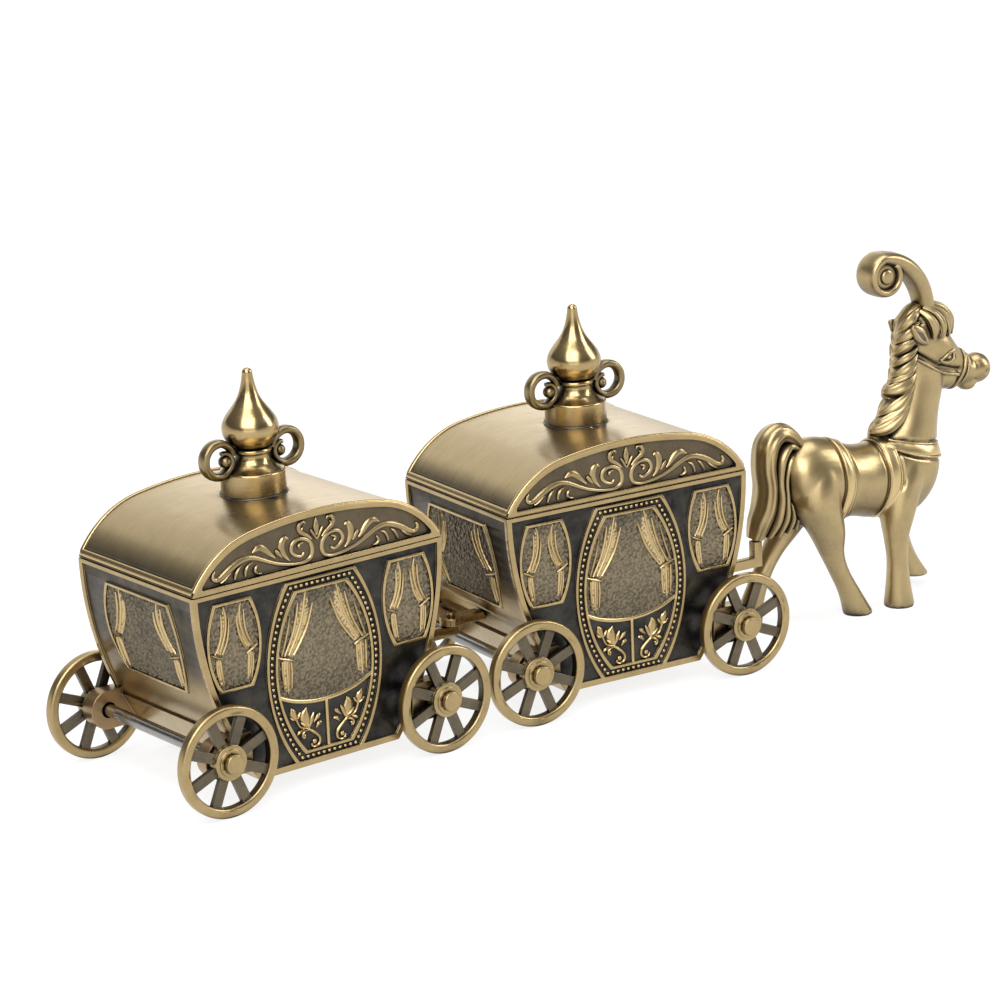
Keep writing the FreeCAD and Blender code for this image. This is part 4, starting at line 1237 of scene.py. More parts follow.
@dataclass
class Casting:
    """A softened copy of a plain node, with a finish chosen for each face."""

    node: str
    name: str
    body: str
    slot: str
    place: Matrix
    shop: MaterialShop
    tones: tuple[Tone, ...]
    choose: Callable[[Vector, Vector], Tone]
    softening: float = 0.15
    parted: tuple[float, ...] = ()
    flatness: float = 0.6
    crease: float = 35.0
    seam: float = 2e-6
    cut_play: float = 1e-4

    def build(self) -> None:
        """Copy the node, join its seams, pick finishes and round its edges."""
        bm = bmesh.new()
        bm.from_mesh(bpy.data.objects[self.node].data)
        bmesh.ops.remove_doubles(bm, verts=bm.verts, dist=self.seam)
        bmesh.ops.dissolve_limit(bm, angle_limit=math.radians(self.flatness), verts=bm.verts,
                                 edges=bm.edges)
        bmesh.ops.transform(bm, matrix=self.place.inverted(), verts=bm.verts)
        for across in self.parted:
            bmesh.ops.bisect_plane(bm, geom=[*bm.verts, *bm.edges, *bm.faces], dist=self.cut_play,
                                   plane_co=ACROSS * across, plane_no=ACROSS)
        bmesh.ops.connect_verts_concave(bm, faces=bm.faces)
        bm.normal_update()
        for part in bm.faces:
            part.material_index = self.tones.index(self.choose(part.calc_center_median(), part.normal))
        piece = put(self.name, bm, self.place, self.body,
                    [self.shop.get(tone) for tone in self.tones], (self.node,), self.crease)
        rounding = piece.modifiers.new("rounded_edges", "BEVEL")
        rounding.width = self.softening * MM
        rounding.segments = 2
        rounding.limit_method = "ANGLE"
        rounding.angle_limit = math.radians(self.crease)
        rounding.use_clamp_overlap = False
        rounding.harden_normals = True


HORSE_BARREL: Rows = (
    (7.3, 32.0, 4.2, 3.6), (9.6, 31.2, 7.8, 6.2), (13.8, 30.6, 10.0, 7.4), (19.5, 30.2, 9.6, 7.6),
    (24.4, 29.4, 8.2, 7.2), (29.9, 28.4, 8.4, 7.1), (36.1, 29.0, 9.6, 7.4), (41.6, 29.5, 10.1, 7.3),
    (45.6, 30.3, 7.6, 6.1), (48.0, 31.6, 4.1, 3.7))
HORSE_NECK: Rows = (
    (32.0, 40.6, 8.1, 6.5), (37.9, 41.9, 7.1, 5.6), (42.0, 43.4, 6.2, 4.9), (46.0, 44.8, 5.9, 4.4),
    (50.0, 45.8, 5.5, 4.0), (55.0, 46.0, 5.1, 3.9), (60.0, 46.4, 4.8, 3.8), (63.0, 46.5, 3.6, 3.0))
HORSE_HEAD: Rows = (
    (44.8, 58.3, 4.7, 3.9), (48.9, 55.3, 5.1, 4.3), (52.2, 52.2, 4.4, 4.0), (54.9, 50.1, 3.6, 3.6),
    (57.4, 48.9, 3.2, 3.3), (59.7, 48.3, 3.1, 3.1))
HORSE_LEGS: Sequence[Rows] = (
    ((39.0, 15.4, -0.8, 2.6), (35.0, 15.2, -1.7, 5.0), (30.5, 14.5, -2.4, 6.0), (26.1, 14.1, -3.1, 5.7),
     (20.0, 16.1, -4.1, 4.15), (15.0, 17.2, -4.4, 2.8), (10.5, 19.1, -4.4, 2.35), (5.0, 22.1, -4.3, 2.6),
     (0.0, 24.4, -4.2, 3.4)),
    ((39.0, 15.4, 0.8, 2.6), (35.0, 15.2, 1.7, 5.0), (30.5, 14.4, 2.4, 5.9), (26.1, 13.4, 3.1, 5.5),
     (20.0, 11.0, 4.2, 3.9), (15.0, 7.7, 4.6, 2.6), (10.5, 4.9, 4.7, 2.3), (5.0, 2.4, 4.8, 2.6),
     (0.0, 0.8, 4.8, 3.4)),
    ((37.0, 39.4, -0.8, 2.4), (33.5, 39.2, -2.0, 4.4), (29.5, 38.2, -3.1, 4.9), (25.0, 36.4, -4.0, 4.6),
     (20.0, 34.9, -4.9, 3.8), (15.5, 34.3, -5.3, 2.8), (10.5, 34.4, -5.5, 2.4), (5.0, 34.6, -5.5, 2.8),
     (0.0, 34.8, -5.5, 3.5)),
    ((37.0, 40.2, 0.8, 2.4), (33.5, 40.2, 2.0, 4.4), (29.5, 40.0, 3.1, 4.8), (25.0, 40.4, 4.0, 4.5),
     (20.0, 41.5, 4.9, 3.5), (15.0, 42.6, 5.3, 2.6), (10.5, 44.0, 5.5, 2.35), (6.3, 45.6, 5.5, 2.7),
     (2.2, 47.8, 5.5, 3.3)),
)
HORSE_EGGS: tuple[tuple[Row, Row], ...] = (
    ((61.1, 0.0, 48.9), (3.4, 3.6, 3.4)), ((58.4, 0.0, 48.6), (3.0, 3.2, 3.0)),
    ((58.4, 0.0, 45.9), (2.2, 2.4, 1.7)), ((52.2, 0.0, 48.4), (4.0, 3.2, 2.9)))
HORSE_STROKES: tuple[tuple[tuple[Row, ...], float, float], ...] = (
    (((41.4, 55.6), (44.8, 53.5), (48.2, 51.6), (51.0, 50.6), (53.6, 50.0)), 1.2, -0.95),
    (((48.6, 52.9), (50.4, 53.5), (51.9, 53.8)), 1.2, -0.50),
    (((61.9, 48.5), (62.2, 48.2)), 0.85, -0.60),
    (((58.8, 47.0), (60.8, 46.3), (62.4, 46.7)), 0.65, -0.40),
)
REAR_GIRTH: Rows = ((20.0, 20.4), (24.0, 19.9), (29.5, 20.7), (34.0, 20.7),
                    (37.8, 20.7), (41.3, 21.0))
FORE_GIRTH: Rows = ((20.0, 32.6), (22.0, 32.3), (26.6, 33.0), (31.8, 33.3),
                    (35.5, 33.1), (39.6, 33.4))
MANE_CREST: Rows = (
    (45.4, 65.4, 0.9, 1.4), (43.4, 64.6, 1.6, 2.1), (41.5, 62.2, 1.8, 2.4), (40.8, 58.6, 1.8, 2.4),
    (40.0, 54.4, 1.7, 2.4), (39.6, 50.6, 1.7, 2.4), (38.8, 47.0, 1.7, 2.4), (37.2, 43.6, 1.8, 2.4),
    (35.4, 41.0, 1.8, 2.4), (33.4, 39.2, 1.0, 1.7))
MANE_LOCKS: Sequence[Rows] = (
    ((45.0, 0.8, 65.0, 0.5), (42.8, 2.0, 64.6, 1.3), (40.8, 2.2, 62.8, 1.6), (39.3, 0.9, 60.6, 0.8)),
    ((43.6, 2.8, 62.4, 0.3), (41.6, 3.0, 61.2, 1.2), (39.9, 2.4, 59.7, 1.5), (38.5, 0.8, 58.3, 0.8)),
    ((43.0, 2.9, 59.0, 0.3), (41.1, 3.1, 58.5, 1.0), (39.3, 2.3, 57.4, 1.4), (38.0, 0.8, 55.9, 0.8)),
    ((42.7, 2.9, 57.0, 0.3), (41.0, 3.0, 55.8, 0.9), (39.2, 2.4, 54.6, 1.2), (37.8, 0.8, 53.2, 0.7)),
    ((42.5, 2.8, 55.2, 0.3), (40.8, 3.0, 53.6, 1.1), (39.0, 2.4, 52.1, 1.4), (37.4, 0.8, 50.9, 0.8)),
    ((42.2, 2.8, 52.8, 0.3), (40.3, 3.0, 51.4, 0.9), (38.5, 2.2, 50.3, 1.2), (36.9, 0.8, 49.6, 0.7)),
    ((42.0, 2.9, 51.0, 0.3), (39.8, 3.1, 49.3, 1.3), (37.4, 2.3, 48.1, 1.7), (35.2, 0.7, 47.6, 0.8)),
    ((41.6, 3.0, 48.6, 0.3), (38.9, 3.2, 46.3, 1.2), (36.3, 2.4, 44.3, 1.6), (34.0, 0.7, 42.8, 0.8)),
    ((40.8, 3.2, 46.4, 0.3), (38.2, 3.3, 44.2, 1.0), (35.5, 2.5, 42.3, 1.3), (32.9, 0.8, 40.9, 0.7)),
    ((39.6, 3.6, 44.3, 0.3), (36.9, 3.6, 41.9, 1.2), (34.0, 2.7, 40.1, 1.6), (31.4, 0.7, 39.2, 0.9)),
)
FAR_SHIFT: Row = (0.8, 0.0, -1.3, 0.0)
FORELOCKS: Sequence[Rows] = (
    ((43.8, 2.2, 64.6, 0.6), (45.2, 3.9, 63.0, 1.05), (46.0, 4.6, 60.8, 1.15), (45.9, 4.6, 58.3, 0.3)),
    ((45.0, 1.8, 65.2, 0.6), (47.2, 3.4, 63.7, 1.05), (48.5, 4.3, 61.2, 1.15), (48.5, 4.5, 58.1, 0.3)),
    ((46.2, 1.2, 65.6, 0.6), (49.2, 2.4, 64.2, 1.05), (51.0, 3.1, 61.5, 1.15), (51.1, 3.4, 58.2, 0.3)),
    ((47.0, 0.5, 65.8, 0.6), (50.8, 0.9, 64.5, 1.05), (53.0, 1.2, 61.5, 1.15), (53.4, 1.3, 58.0, 0.3)),
)
CHEEK_LINE: Rows = ((41.8, 54.5), (44.9, 52.4), (48.3, 50.5), (51.4, 49.5), (53.8, 49.0))
TAIL_STRANDS: Sequence[Rows] = (
    ((11.0, 38.6, 0.9, 2.2), (8.6, 39.9, 1.2, 2.8), (6.2, 37.6, 1.4, 3.3), (5.1, 33.0, 1.3, 3.6),
     (5.2, 28.5, 1.4, 3.9), (4.4, 24.0, 1.5, 3.5), (2.6, 20.3, 0.8, 2.0)),
    ((10.8, 37.0, 0.9, 2.2), (8.6, 37.0, 1.1, 2.8), (6.9, 33.0, 1.0, 3.2), (6.8, 28.8, 1.2, 3.5),
     (6.8, 24.3, 1.4, 3.3), (5.2, 20.2, 0.7, 1.9)),
    ((7.9, 31.0, 0.6, 2.4), (8.2, 27.4, 1.0, 2.9), (8.9, 23.8, 1.1, 2.8), (7.8, 20.4, 0.6, 1.7)),
    ((9.2, 27.4, 0.6, 2.0), (10.4, 24.2, 0.9, 2.4), (10.2, 20.9, 0.5, 1.5)),
)
TAIL_TUBE: Rows = (
    (12.4, 38.2, 1.3, 1.8), (9.8, 41.5, 1.9, 2.6), (6.4, 43.0, 2.3, 3.2), (3.5, 41.0, 2.4, 3.6),
    (2.5, 36.5, 2.1, 3.8), (2.9, 31.5, 2.0, 4.0), (2.3, 27.0, 2.15, 3.9), (0.9, 23.5, 2.2, 3.2),
    (-0.2, 20.4, 1.65, 2.2))
PLUME_STEM: Rows = (
    (46.4, 61.0, 1.9, 2.5), (46.5, 64.6, 1.95, 2.7), (45.8, 68.2, 2.0, 2.9), (43.9, 71.8, 2.05, 3.1),
    (41.0, 74.8, 2.0, 3.2), (37.6, 76.8, 1.65, 3.25))
EAR_LEAF: Rows = (
    (40.2, 61.8, 0.5, 0.45), (41.1, 61.2, 1.2, 0.8), (42.3, 60.0, 1.75, 0.95), (43.5, 58.6, 1.4, 0.9),
    (44.5, 57.5, 0.5, 0.6))
EAR_SLOT: Rows = ((40.9, 61.2, 0.1, 0.3), (42.0, 60.2, 0.6, 0.45), (43.0, 59.0, 0.6, 0.45),
                  (43.7, 58.2, 0.1, 0.3))
EYE_LID: Rows = ((48.4, 53.0), (49.8, 54.3), (51.8, 55.0))
EYE_FOOT: Rows = ((48.4, 53.0), (50.2, 52.5), (52.0, 53.2), (51.9, 54.8))
FACE_LINES: tuple[tuple[Rows, float], ...] = ((EYE_LID, 0.36), (EYE_FOOT, 0.2), (CHEEK_LINE, 0.34))
NOSEBANDS: tuple[Triple, ...] = ((55.0, 0.0, 50.0), (56.2, 0.0, 49.5))
POLL_EGGS: tuple[tuple[Triple, Triple, int], ...] = (
    ((49.2, 0.0, 60.6), (3.7, 3.9, 4.0), 18), ((45.6, 0.0, 62.4), (3.3, 3.3, 2.6), 14))
PLUME_KNOBS: tuple[Span, ...] = ((3.2, 2.1), (1.75, 2.9))
KNOB_PROFILE: tuple[Span, ...] = ((-1.0, 0.6), (-0.93, 0.88), (-0.8, 1.0),
                                  (0.8, 1.0), (0.93, 0.88), (1.0, 0.6))


@dataclass(frozen=True)
class Band:
    """A band or cord on the horse's skin: the points under it with their directions, and its make.

    The taper is the share of its width and of its shift that is gone at its ends.
    """

    spots: Sequence[Spot]
    half: float
    closed: bool = True
    taper: float = 0.0


@dataclass
class Horse:
    """The horse that draws the train, with its harness, mane, plume and tail, in millimetres."""

    shop: MaterialShop
    front: Matrix
    hitch_reach: float = 45.75
    body: str = "plumed_horse"
    slot: str = "horse_brass"
    crease: float = 70.0
    voxel: float = 0.34
    smoothing: int = 9
    form_steps: int = 4
    form_sides: int = 40
    leg_steps: int = 5
    leg_sides: int = 28
    egg_rings: int = 20
    stroke_steps: int = 8
    stroke_shares: tuple[float, ...] = (0.0, 0.25, 0.5, 0.75)
    hoof_level: float = 0.3
    head_tilt: float = 33.0
    cast_reach: float = 40.0
    flank: float = 3.0
    groove: float = 0.45
    groove_reach: float = 0.8
    groove_lift: float = 0.1
    rear_half: float = 1.0
    fore_half: float = 1.35
    breast_half: float = 1.55
    breast_taper: float = 0.4
    band_thick: float = 0.42
    band_sides: int = 12
    band_square: float = 0.75
    edge_half: float = 0.26
    edge_thick: float = 0.5
    bedding: float = 0.4
    girth_middle: float = 29.5
    girth_half: float = 9.0
    girth_steps: int = 6
    easings: int = 3
    breast_middle: float = 39.5
    breast_height: float = 32.9
    breast_rise: float = 3.9
    breast_turn: int = 150
    breast_curve: float = 1.3
    band_step: int = 6
    nose_tilt: float = 21.0
    nose_reach: float = 12.0
    nose_half: float = 0.42
    nose_thick: float = 0.5
    nose_step: int = 10
    hair_steps: int = 5
    hair_sides: int = 20
    lock_steps: int = 6
    lock_sides: int = 36
    lock_depth: float = 0.78
    lock_tip: float = 0.25
    combing: tuple[int, float] = (6, 0.17)
    neck_middle: float = 42.5
    brow_middle: Span = (48.4, 60.2)
    roll: Span = (34.9, 73.5)
    roll_turns: range = range(95, 420, 15)
    roll_whole: float = 325.0
    roll_radius: Span = (4.05, 0.75)
    roll_thick: Span = (1.2, 0.4)
    roll_half: Span = (3.3, 0.35)
    plume_steps: int = 3
    plume_sides: int = 24
    plume_square: float = 0.75
    tail_combing: tuple[int, float] = (8, 0.09)
    tail_foot: float = 20.3
    tube_sides: int = 48
    pin_hole: float = 0.92
    pin_hole_top: float = 23.9
    drill_length: float = 10.0
    drill_sides: int = 24
    ear_out: float = 3.9
    ear_slot_out: float = 0.62
    ear_steps: int = 5
    ear_sides: int = 14
    face_steps: int = 6
    eye: Span = (50.5, 53.7)
    eye_sink: float = 0.15
    eye_halves: Triple = (1.25, 0.6, 0.9)
    eye_rings: int = 10
    glint_out: float = 0.3
    glint_halves: Triple = (0.42, 0.3, 0.42)
    glint_rings: int = 8
    place: Matrix = field(init=False)
    skin: BVHTree = field(init=False)
    trunk: BVHTree = field(init=False)
    bands: list[Band] = field(init=False)

    def __post_init__(self) -> None:
        """Find the horse's place from the front carriage's."""
        self.place = self.front @ Matrix.Translation((self.hitch_reach, 0.0, 0.0))

    def build(self) -> None:
        """Make every piece of the horse."""
        self.coat()
        self.harness()
        self.mane()
        self.plume()
        self.tail()
        self.ears_and_eyes()

    def hang(self, name: str, bm: BMesh, tone: Tone, stands_for: Sequence[str] = ()) -> None:
        """Put one piece of the horse in place."""
        put(name, bm, self.place, self.body, [self.shop.get(tone)], stands_for, self.crease)

    def coat(self) -> None:
        """Make the body, legs, neck and head as one fused skin with its face carved in."""
        raw = bmesh.new()
        sweep(raw, [Ring(Vector((x, 0.0, z)), ACROSS * wide, UP * high)
                    for x, z, high, wide in spline(HORSE_BARREL, self.form_steps)], self.form_sides)
        sweep(raw, [Ring(Vector((x, 0.0, z)), AHEAD * long, ACROSS * wide)
                    for z, x, long, wide in spline(HORSE_NECK, self.form_steps)], self.form_sides)
        self.trunk = BVHTree.FromBMesh(raw)
        rise = turned(self.head_tilt, UP, AHEAD)
        sweep(raw, [Ring(Vector((x, 0.0, z)), ACROSS * wide, rise * high)
                    for x, z, high, wide in spline(HORSE_HEAD, self.form_steps)], self.form_sides)
        for leg in HORSE_LEGS:
            sweep(raw, [Ring(Vector((x, y, z)), AHEAD * radius, ACROSS * radius)
                        for z, x, y, radius in spline(leg, self.leg_steps)], self.leg_sides)
        for centre, halves in HORSE_EGGS:
            ball(raw, centre, halves, self.egg_rings)
        skin = self.fuse(raw)
        for vert in skin.verts:
            if vert.co.z < self.hoof_level:
                vert.co.z = 0.0
        self.skin = BVHTree.FromBMesh(skin)
        for rows, radius, height in HORSE_STROKES:
            for hand in HANDS:
                path = [self.onto(x, z, hand)[0] for x, z in spline(rows, self.stroke_steps)]
                self.carve(skin, path, radius, height)
        self.skin = BVHTree.FromBMesh(skin)
        self.bands = [Band(self.girth_spots(REAR_GIRTH), self.rear_half),
                      Band(self.girth_spots(FORE_GIRTH), self.fore_half),
                      Band(self.chest_spots(), self.breast_half, False, self.breast_taper)]
        for band in self.bands:
            for side in HANDS:
                rings = self.band_rings(band, band.half, self.groove_lift, side * (band.half + self.groove))
                self.carve(skin, [ring.centre for ring in rings], self.groove_reach, -self.groove)
        self.hang("horse_coat", skin, Tone.HORSE, ("horse_body",))

    def fuse(self, raw: BMesh) -> BMesh:
        """Melt overlapping closed shapes into one smooth skin.

        Args:
            raw: The shapes, freed here.

        Returns:
            The skin.
        """
        bmesh.ops.recalc_face_normals(raw, faces=raw.faces)
        holder = hold("raw_horse", raw)
        melt = holder.modifiers.new("melt", "REMESH")
        melt.mode = "VOXEL"
        melt.voxel_size = self.voxel
        holder.modifiers.new("smooth", "SMOOTH").iterations = self.smoothing
        return applied(holder)

    def onto(self, along: float, up: float, hand: float) -> Spot:
        """Find the skin at a side-view point.

        Args:
            along: Distance ahead of the hitch pin.
            up: Height above the floor.
            hand: -1 for the near side and 1 for the far side.

        Returns:
            The point of the skin and the direction out of it.
        """
        spot, out = struck(self.skin, Vector((along, 0.0, up)), ACROSS * hand, self.cast_reach)
        if spot is None:
            spot, out, *_ = self.skin.find_nearest(Vector((along, hand * self.flank, up)))
        return spot, out

    def carve(self, skin: BMesh, path: Sequence[Vector], radius: float, height: float) -> None:
        """Raise or sink the skin along a path.

        Args:
            skin: The mesh to shape.
            path: Points of the path on the skin.
            radius: Reach of the stroke.
            height: How far it rises, or sinks below zero.
        """
        skin.verts.ensure_lookup_table()
        skin.normal_update()
        tree = kdtree.KDTree(len(skin.verts))
        for vert in skin.verts:
            tree.insert(vert.co, vert.index)
        tree.balance()
        nearest: dict[int, float] = {}
        for start, end in zip(path, path[1:]):
            for share in self.stroke_shares:
                for _, number, gap in tree.find_range(start.lerp(end, share), radius):
                    nearest[number] = min(gap, nearest.get(number, radius))
        for number, gap in nearest.items():
            vert = skin.verts[number]
            vert.co += vert.normal * height * (1.0 - (gap / radius) ** 2) ** 2

    def cord(self, bm: BMesh, band: Band, wide: float, thick: float, shift: float = 0.0,
             sides: int = 8) -> None:
        """Lay a band on the skin, or a cord of half sizes wide and thick along it at a sideways shift."""
        sweep(bm, self.band_rings(band, wide, thick, shift), sides, band.closed, self.band_square)

    def band_rings(self, band: Band, wide: float, thick: float, shift: float) -> list[Ring]:
        """Set ovals along a band.

        Args:
            band: The band.
            wide: Half the width of what lies there.
            thick: Half its thickness.
            shift: Distance sideways from the band's points.

        Returns:
            An oval for each point.
        """
        count = len(band.spots)
        spine = [spot + out * thick * self.bedding for spot, out in band.spots]
        slim = [1.0 - band.taper * abs(2.0 * n / (count - 1) - 1.0) ** 2 for n in range(count)]
        halves = [(wide * part if wide > thick else wide, thick) for part in slim]
        rings = strand_rings(spine, halves, [out for _, out in band.spots], band.closed)
        return [Ring(ring.centre + ring.across.normalized() * shift * part, ring.across, ring.out)
                for ring, part in zip(rings, slim)]

    def chest_spots(self) -> list[Spot]:
        """Find skin points round the breast, rising towards the withers.

        Returns:
            The points and the directions out of the skin.
        """
        spots = []
        for turn in range(-self.breast_turn, self.breast_turn + 1, self.band_step):
            share = abs(turn) / self.breast_turn
            height = self.breast_height + self.breast_rise * share ** self.breast_curve
            middle = Vector((self.breast_middle, 0.0, height))
            spots.append(struck(self.trunk, middle, turned(turn, AHEAD, ACROSS), self.cast_reach))
        return spots

    def girth_spots(self, rows: Rows) -> list[Spot]:
        """Find skin points round the barrel.

        Args:
            rows: Heights and the girth's place along at each.

        Returns:
            The points and the directions out of the skin.
        """
        line = spline(rows, self.girth_steps)
        spots = []
        for turn in range(0, 360, self.band_step):
            way = turned(turn, ACROSS, UP)
            height = self.girth_middle + self.girth_half * way.z
            along = min(line, key=lambda row: abs(row[0] - height))[1]
            middle = Vector((along, 0.0, self.girth_middle))
            spots.append(struck(self.trunk, middle, way, self.cast_reach))
        return self.evened(spots)

    def evened(self, spots: Sequence[Spot]) -> list[Spot]:
        """Ease each point of a closed row between its neighbours.

        Args:
            spots: Points and the directions out of the skin.

        Returns:
            The eased points and directions.
        """
        count = len(spots)
        eased = list(spots)
        for _ in range(self.easings):
            eased = [((eased[n - 1][0] + eased[n][0] * 2 + eased[(n + 1) % count][0]) / 4,
                      (eased[n - 1][1] + eased[n][1] * 2 + eased[(n + 1) % count][1]).normalized())
                     for n in range(count)]
        return eased

    def harness(self) -> None:
        """Make the girths, the breast band and the double noseband."""
        bm = bmesh.new()
        for band in self.bands:
            self.cord(bm, band, band.half, self.band_thick, sides=self.band_sides)
            for side in HANDS:
                self.cord(bm, band, self.edge_half, self.edge_thick, side * band.half)
        rise = turned(self.nose_tilt, UP, AHEAD)
        for centre in NOSEBANDS:
            ring = []
            for turn in range(0, 360, self.nose_step):
                way = turned(turn, ACROSS, rise)
                ring.append((struck(self.skin, Vector(centre), way, self.nose_reach)[0], way))
            self.cord(bm, Band(self.evened(ring), self.nose_half), self.nose_half, self.nose_thick)
        self.hang("horse_harness", bm, Tone.HORSE)

    def lock(self, bm: BMesh, rows: Rows, hand: float, along: float, up: float | None = None) -> None:
        """Add one ridged lock of hair.

        Args:
            bm: The mesh to add to.
            rows: Its points on the far side and half its width at each.
            hand: 1 for the far side and -1 for the near side.
            along: Place along of the form that it lies round.
            up: Height of that form's middle, or none for an upright form.
        """
        line = spline([(x, y * hand, z, half) for x, y, z, half in rows], self.lock_steps)
        spine = [Vector(row[:3]) for row in line]
        middles = [Vector((along, 0.0, point.z if up is None else up)) for point in spine]
        outs = [(point - middle).normalized() for point, middle in zip(spine, middles)]
        halves = [(row[3], row[3] * self.lock_depth) for row in line]
        sweep(bm, strand_rings(spine, halves, outs), self.lock_sides, flutes=self.combing)

    def mane(self) -> None:
        """Make the crest, its leaf-like locks on both sides and the forelock."""
        bm = bmesh.new()
        ribbon(bm, MANE_CREST, self.hair_steps, self.hair_sides)
        for hand in HANDS:
            for rows in MANE_LOCKS:
                if hand > 0.0:
                    rows = [[value + shift for value, shift in zip(row, FAR_SHIFT)] for row in rows]
                x, _, z, half = rows[-1]
                self.lock(bm, [*rows, (x + half, -half, z - half, self.lock_tip)], hand, self.neck_middle)
            for rows in FORELOCKS:
                self.lock(bm, rows, hand, *self.brow_middle)
        for centre, halves, fine in POLL_EGGS:
            ball(bm, centre, halves, fine)
        self.hang("horse_mane_locks", bm, Tone.HORSE, ("horse_mane",))

    def plume(self) -> None:
        """Make the curled feather: a ribbon that bends back into a roll with a knob."""
        bm = bmesh.new()
        rows = list(PLUME_STEM)
        for turn in self.roll_turns:
            share = (turn - self.roll_turns.start) / self.roll_whole
            radius, thick, half = (start - loss * share for start, loss in
                                   (self.roll_radius, self.roll_thick, self.roll_half))
            angle = math.radians(turn)
            rows.append((self.roll[0] + radius * math.cos(angle), self.roll[1] + radius * math.sin(angle),
                         thick, half))
        ribbon(bm, rows, self.plume_steps, self.plume_sides, square=self.plume_square)
        centre = Vector((self.roll[0], 0.0, self.roll[1]))
        for radius, half in PLUME_KNOBS:
            rings = [Ring(centre + ACROSS * (half * place), AHEAD * (radius * share), UP * (radius * share))
                     for place, share in KNOB_PROFILE]
            sweep(bm, rings, self.plume_sides)
        self.hang("horse_plume_scroll", bm, Tone.HORSE, ("horse_plume",))

    def tail(self) -> None:
        """Make the arched tail: a smooth outer tube with combed strands, and the hole for the pin."""
        bm, tube = bmesh.new(), bmesh.new()
        for rows in TAIL_STRANDS:
            ribbon(bm, rows, self.hair_steps, self.hair_sides)
        ribbon(tube, TAIL_TUBE, self.hair_steps, self.tube_sides, flutes=self.tail_combing)
        for vert in tube.verts:
            vert.co.z = max(vert.co.z, self.tail_foot)
        absorb(bm, self.bored(tube))
        self.hang("horse_tail_strands", bm, Tone.HORSE, ("horse_tail",))

    def bored(self, tube: BMesh) -> BMesh:
        """Cut the hole for the hitch pin into the tail.

        Args:
            tube: The tail's tube, freed here.

        Returns:
            The tube with its hole.
        """
        bmesh.ops.recalc_face_normals(tube, faces=tube.faces)
        drill = bmesh.new()
        middle = Matrix.Translation((0.0, 0.0, self.pin_hole_top - self.drill_length / 2))
        bmesh.ops.create_cone(drill, cap_ends=True, segments=self.drill_sides, radius1=self.pin_hole,
                              radius2=self.pin_hole, depth=self.drill_length, matrix=middle)
        holder, tool = hold("raw_tail", tube), hold("raw_drill", drill)
        cut = holder.modifiers.new("hole", "BOOLEAN")
        cut.operation = "DIFFERENCE"
        cut.object = tool
        return applied(holder, tool)

    def ears_and_eyes(self) -> None:
        """Make the leaf-shaped ears, the eyelids and the dark eyes."""
        bright, dark = bmesh.new(), bmesh.new()
        for hand in HANDS:
            for bm, rows, out in ((bright, EAR_LEAF, 0.0), (dark, EAR_SLOT, self.ear_slot_out)):
                ribbon(bm, rows, self.ear_steps, self.ear_sides, hand, self.ear_out + out)
            for rows, thick in FACE_LINES:
                spots = [self.onto(x, z, hand) for x, z in spline(rows, self.face_steps)]
                self.cord(bright, Band(spots, thick, False), thick, thick)
            spot, out = self.onto(*self.eye, hand)
            ball(dark, spot - out * self.eye_sink, self.eye_halves, self.eye_rings)
            ball(bright, spot + out * self.glint_out, self.glint_halves, self.glint_rings)
        self.hang("horse_ear_rims", bright, Tone.HORSE)
        self.hang("horse_eyes", dark, Tone.GROUND)


@dataclass(frozen=True)
class Lamp:
    """A broad lamp: its place and aim in metres, its size and its power."""

    name: str
    place: Triple
    aim: Triple
    wide: float
    tall: float
    power: float


LAMPS: tuple[Lamp, ...] = (
    Lamp("key_lamp", (-0.62, -0.72, 0.95), (0.0, 0.0, 0.03), 1.1, 0.85, 13.5),
    Lamp("side_lamp", (0.95, -0.45, 0.60), (0.05, 0.0, 0.03), 0.35, 0.7, 5.0),
    Lamp("fill_lamp", (-0.75, -1.15, 0.45), (0.0, 0.0, 0.04), 1.2, 0.8, 3.0),
    Lamp("back_lamp", (0.20, 1.20, 0.62), (0.0, 0.0, 0.04), 1.5, 0.75, 3.2),
    Lamp("crest_lamp", (0.85, 1.20, 0.40), (0.0, 0.0, 0.04), 1.0, 0.35, 0.9),
    Lamp("top_lamp", (0.0, 0.10, 1.25), (0.0, 0.0, 0.0), 1.4, 0.8, 11.0),
)


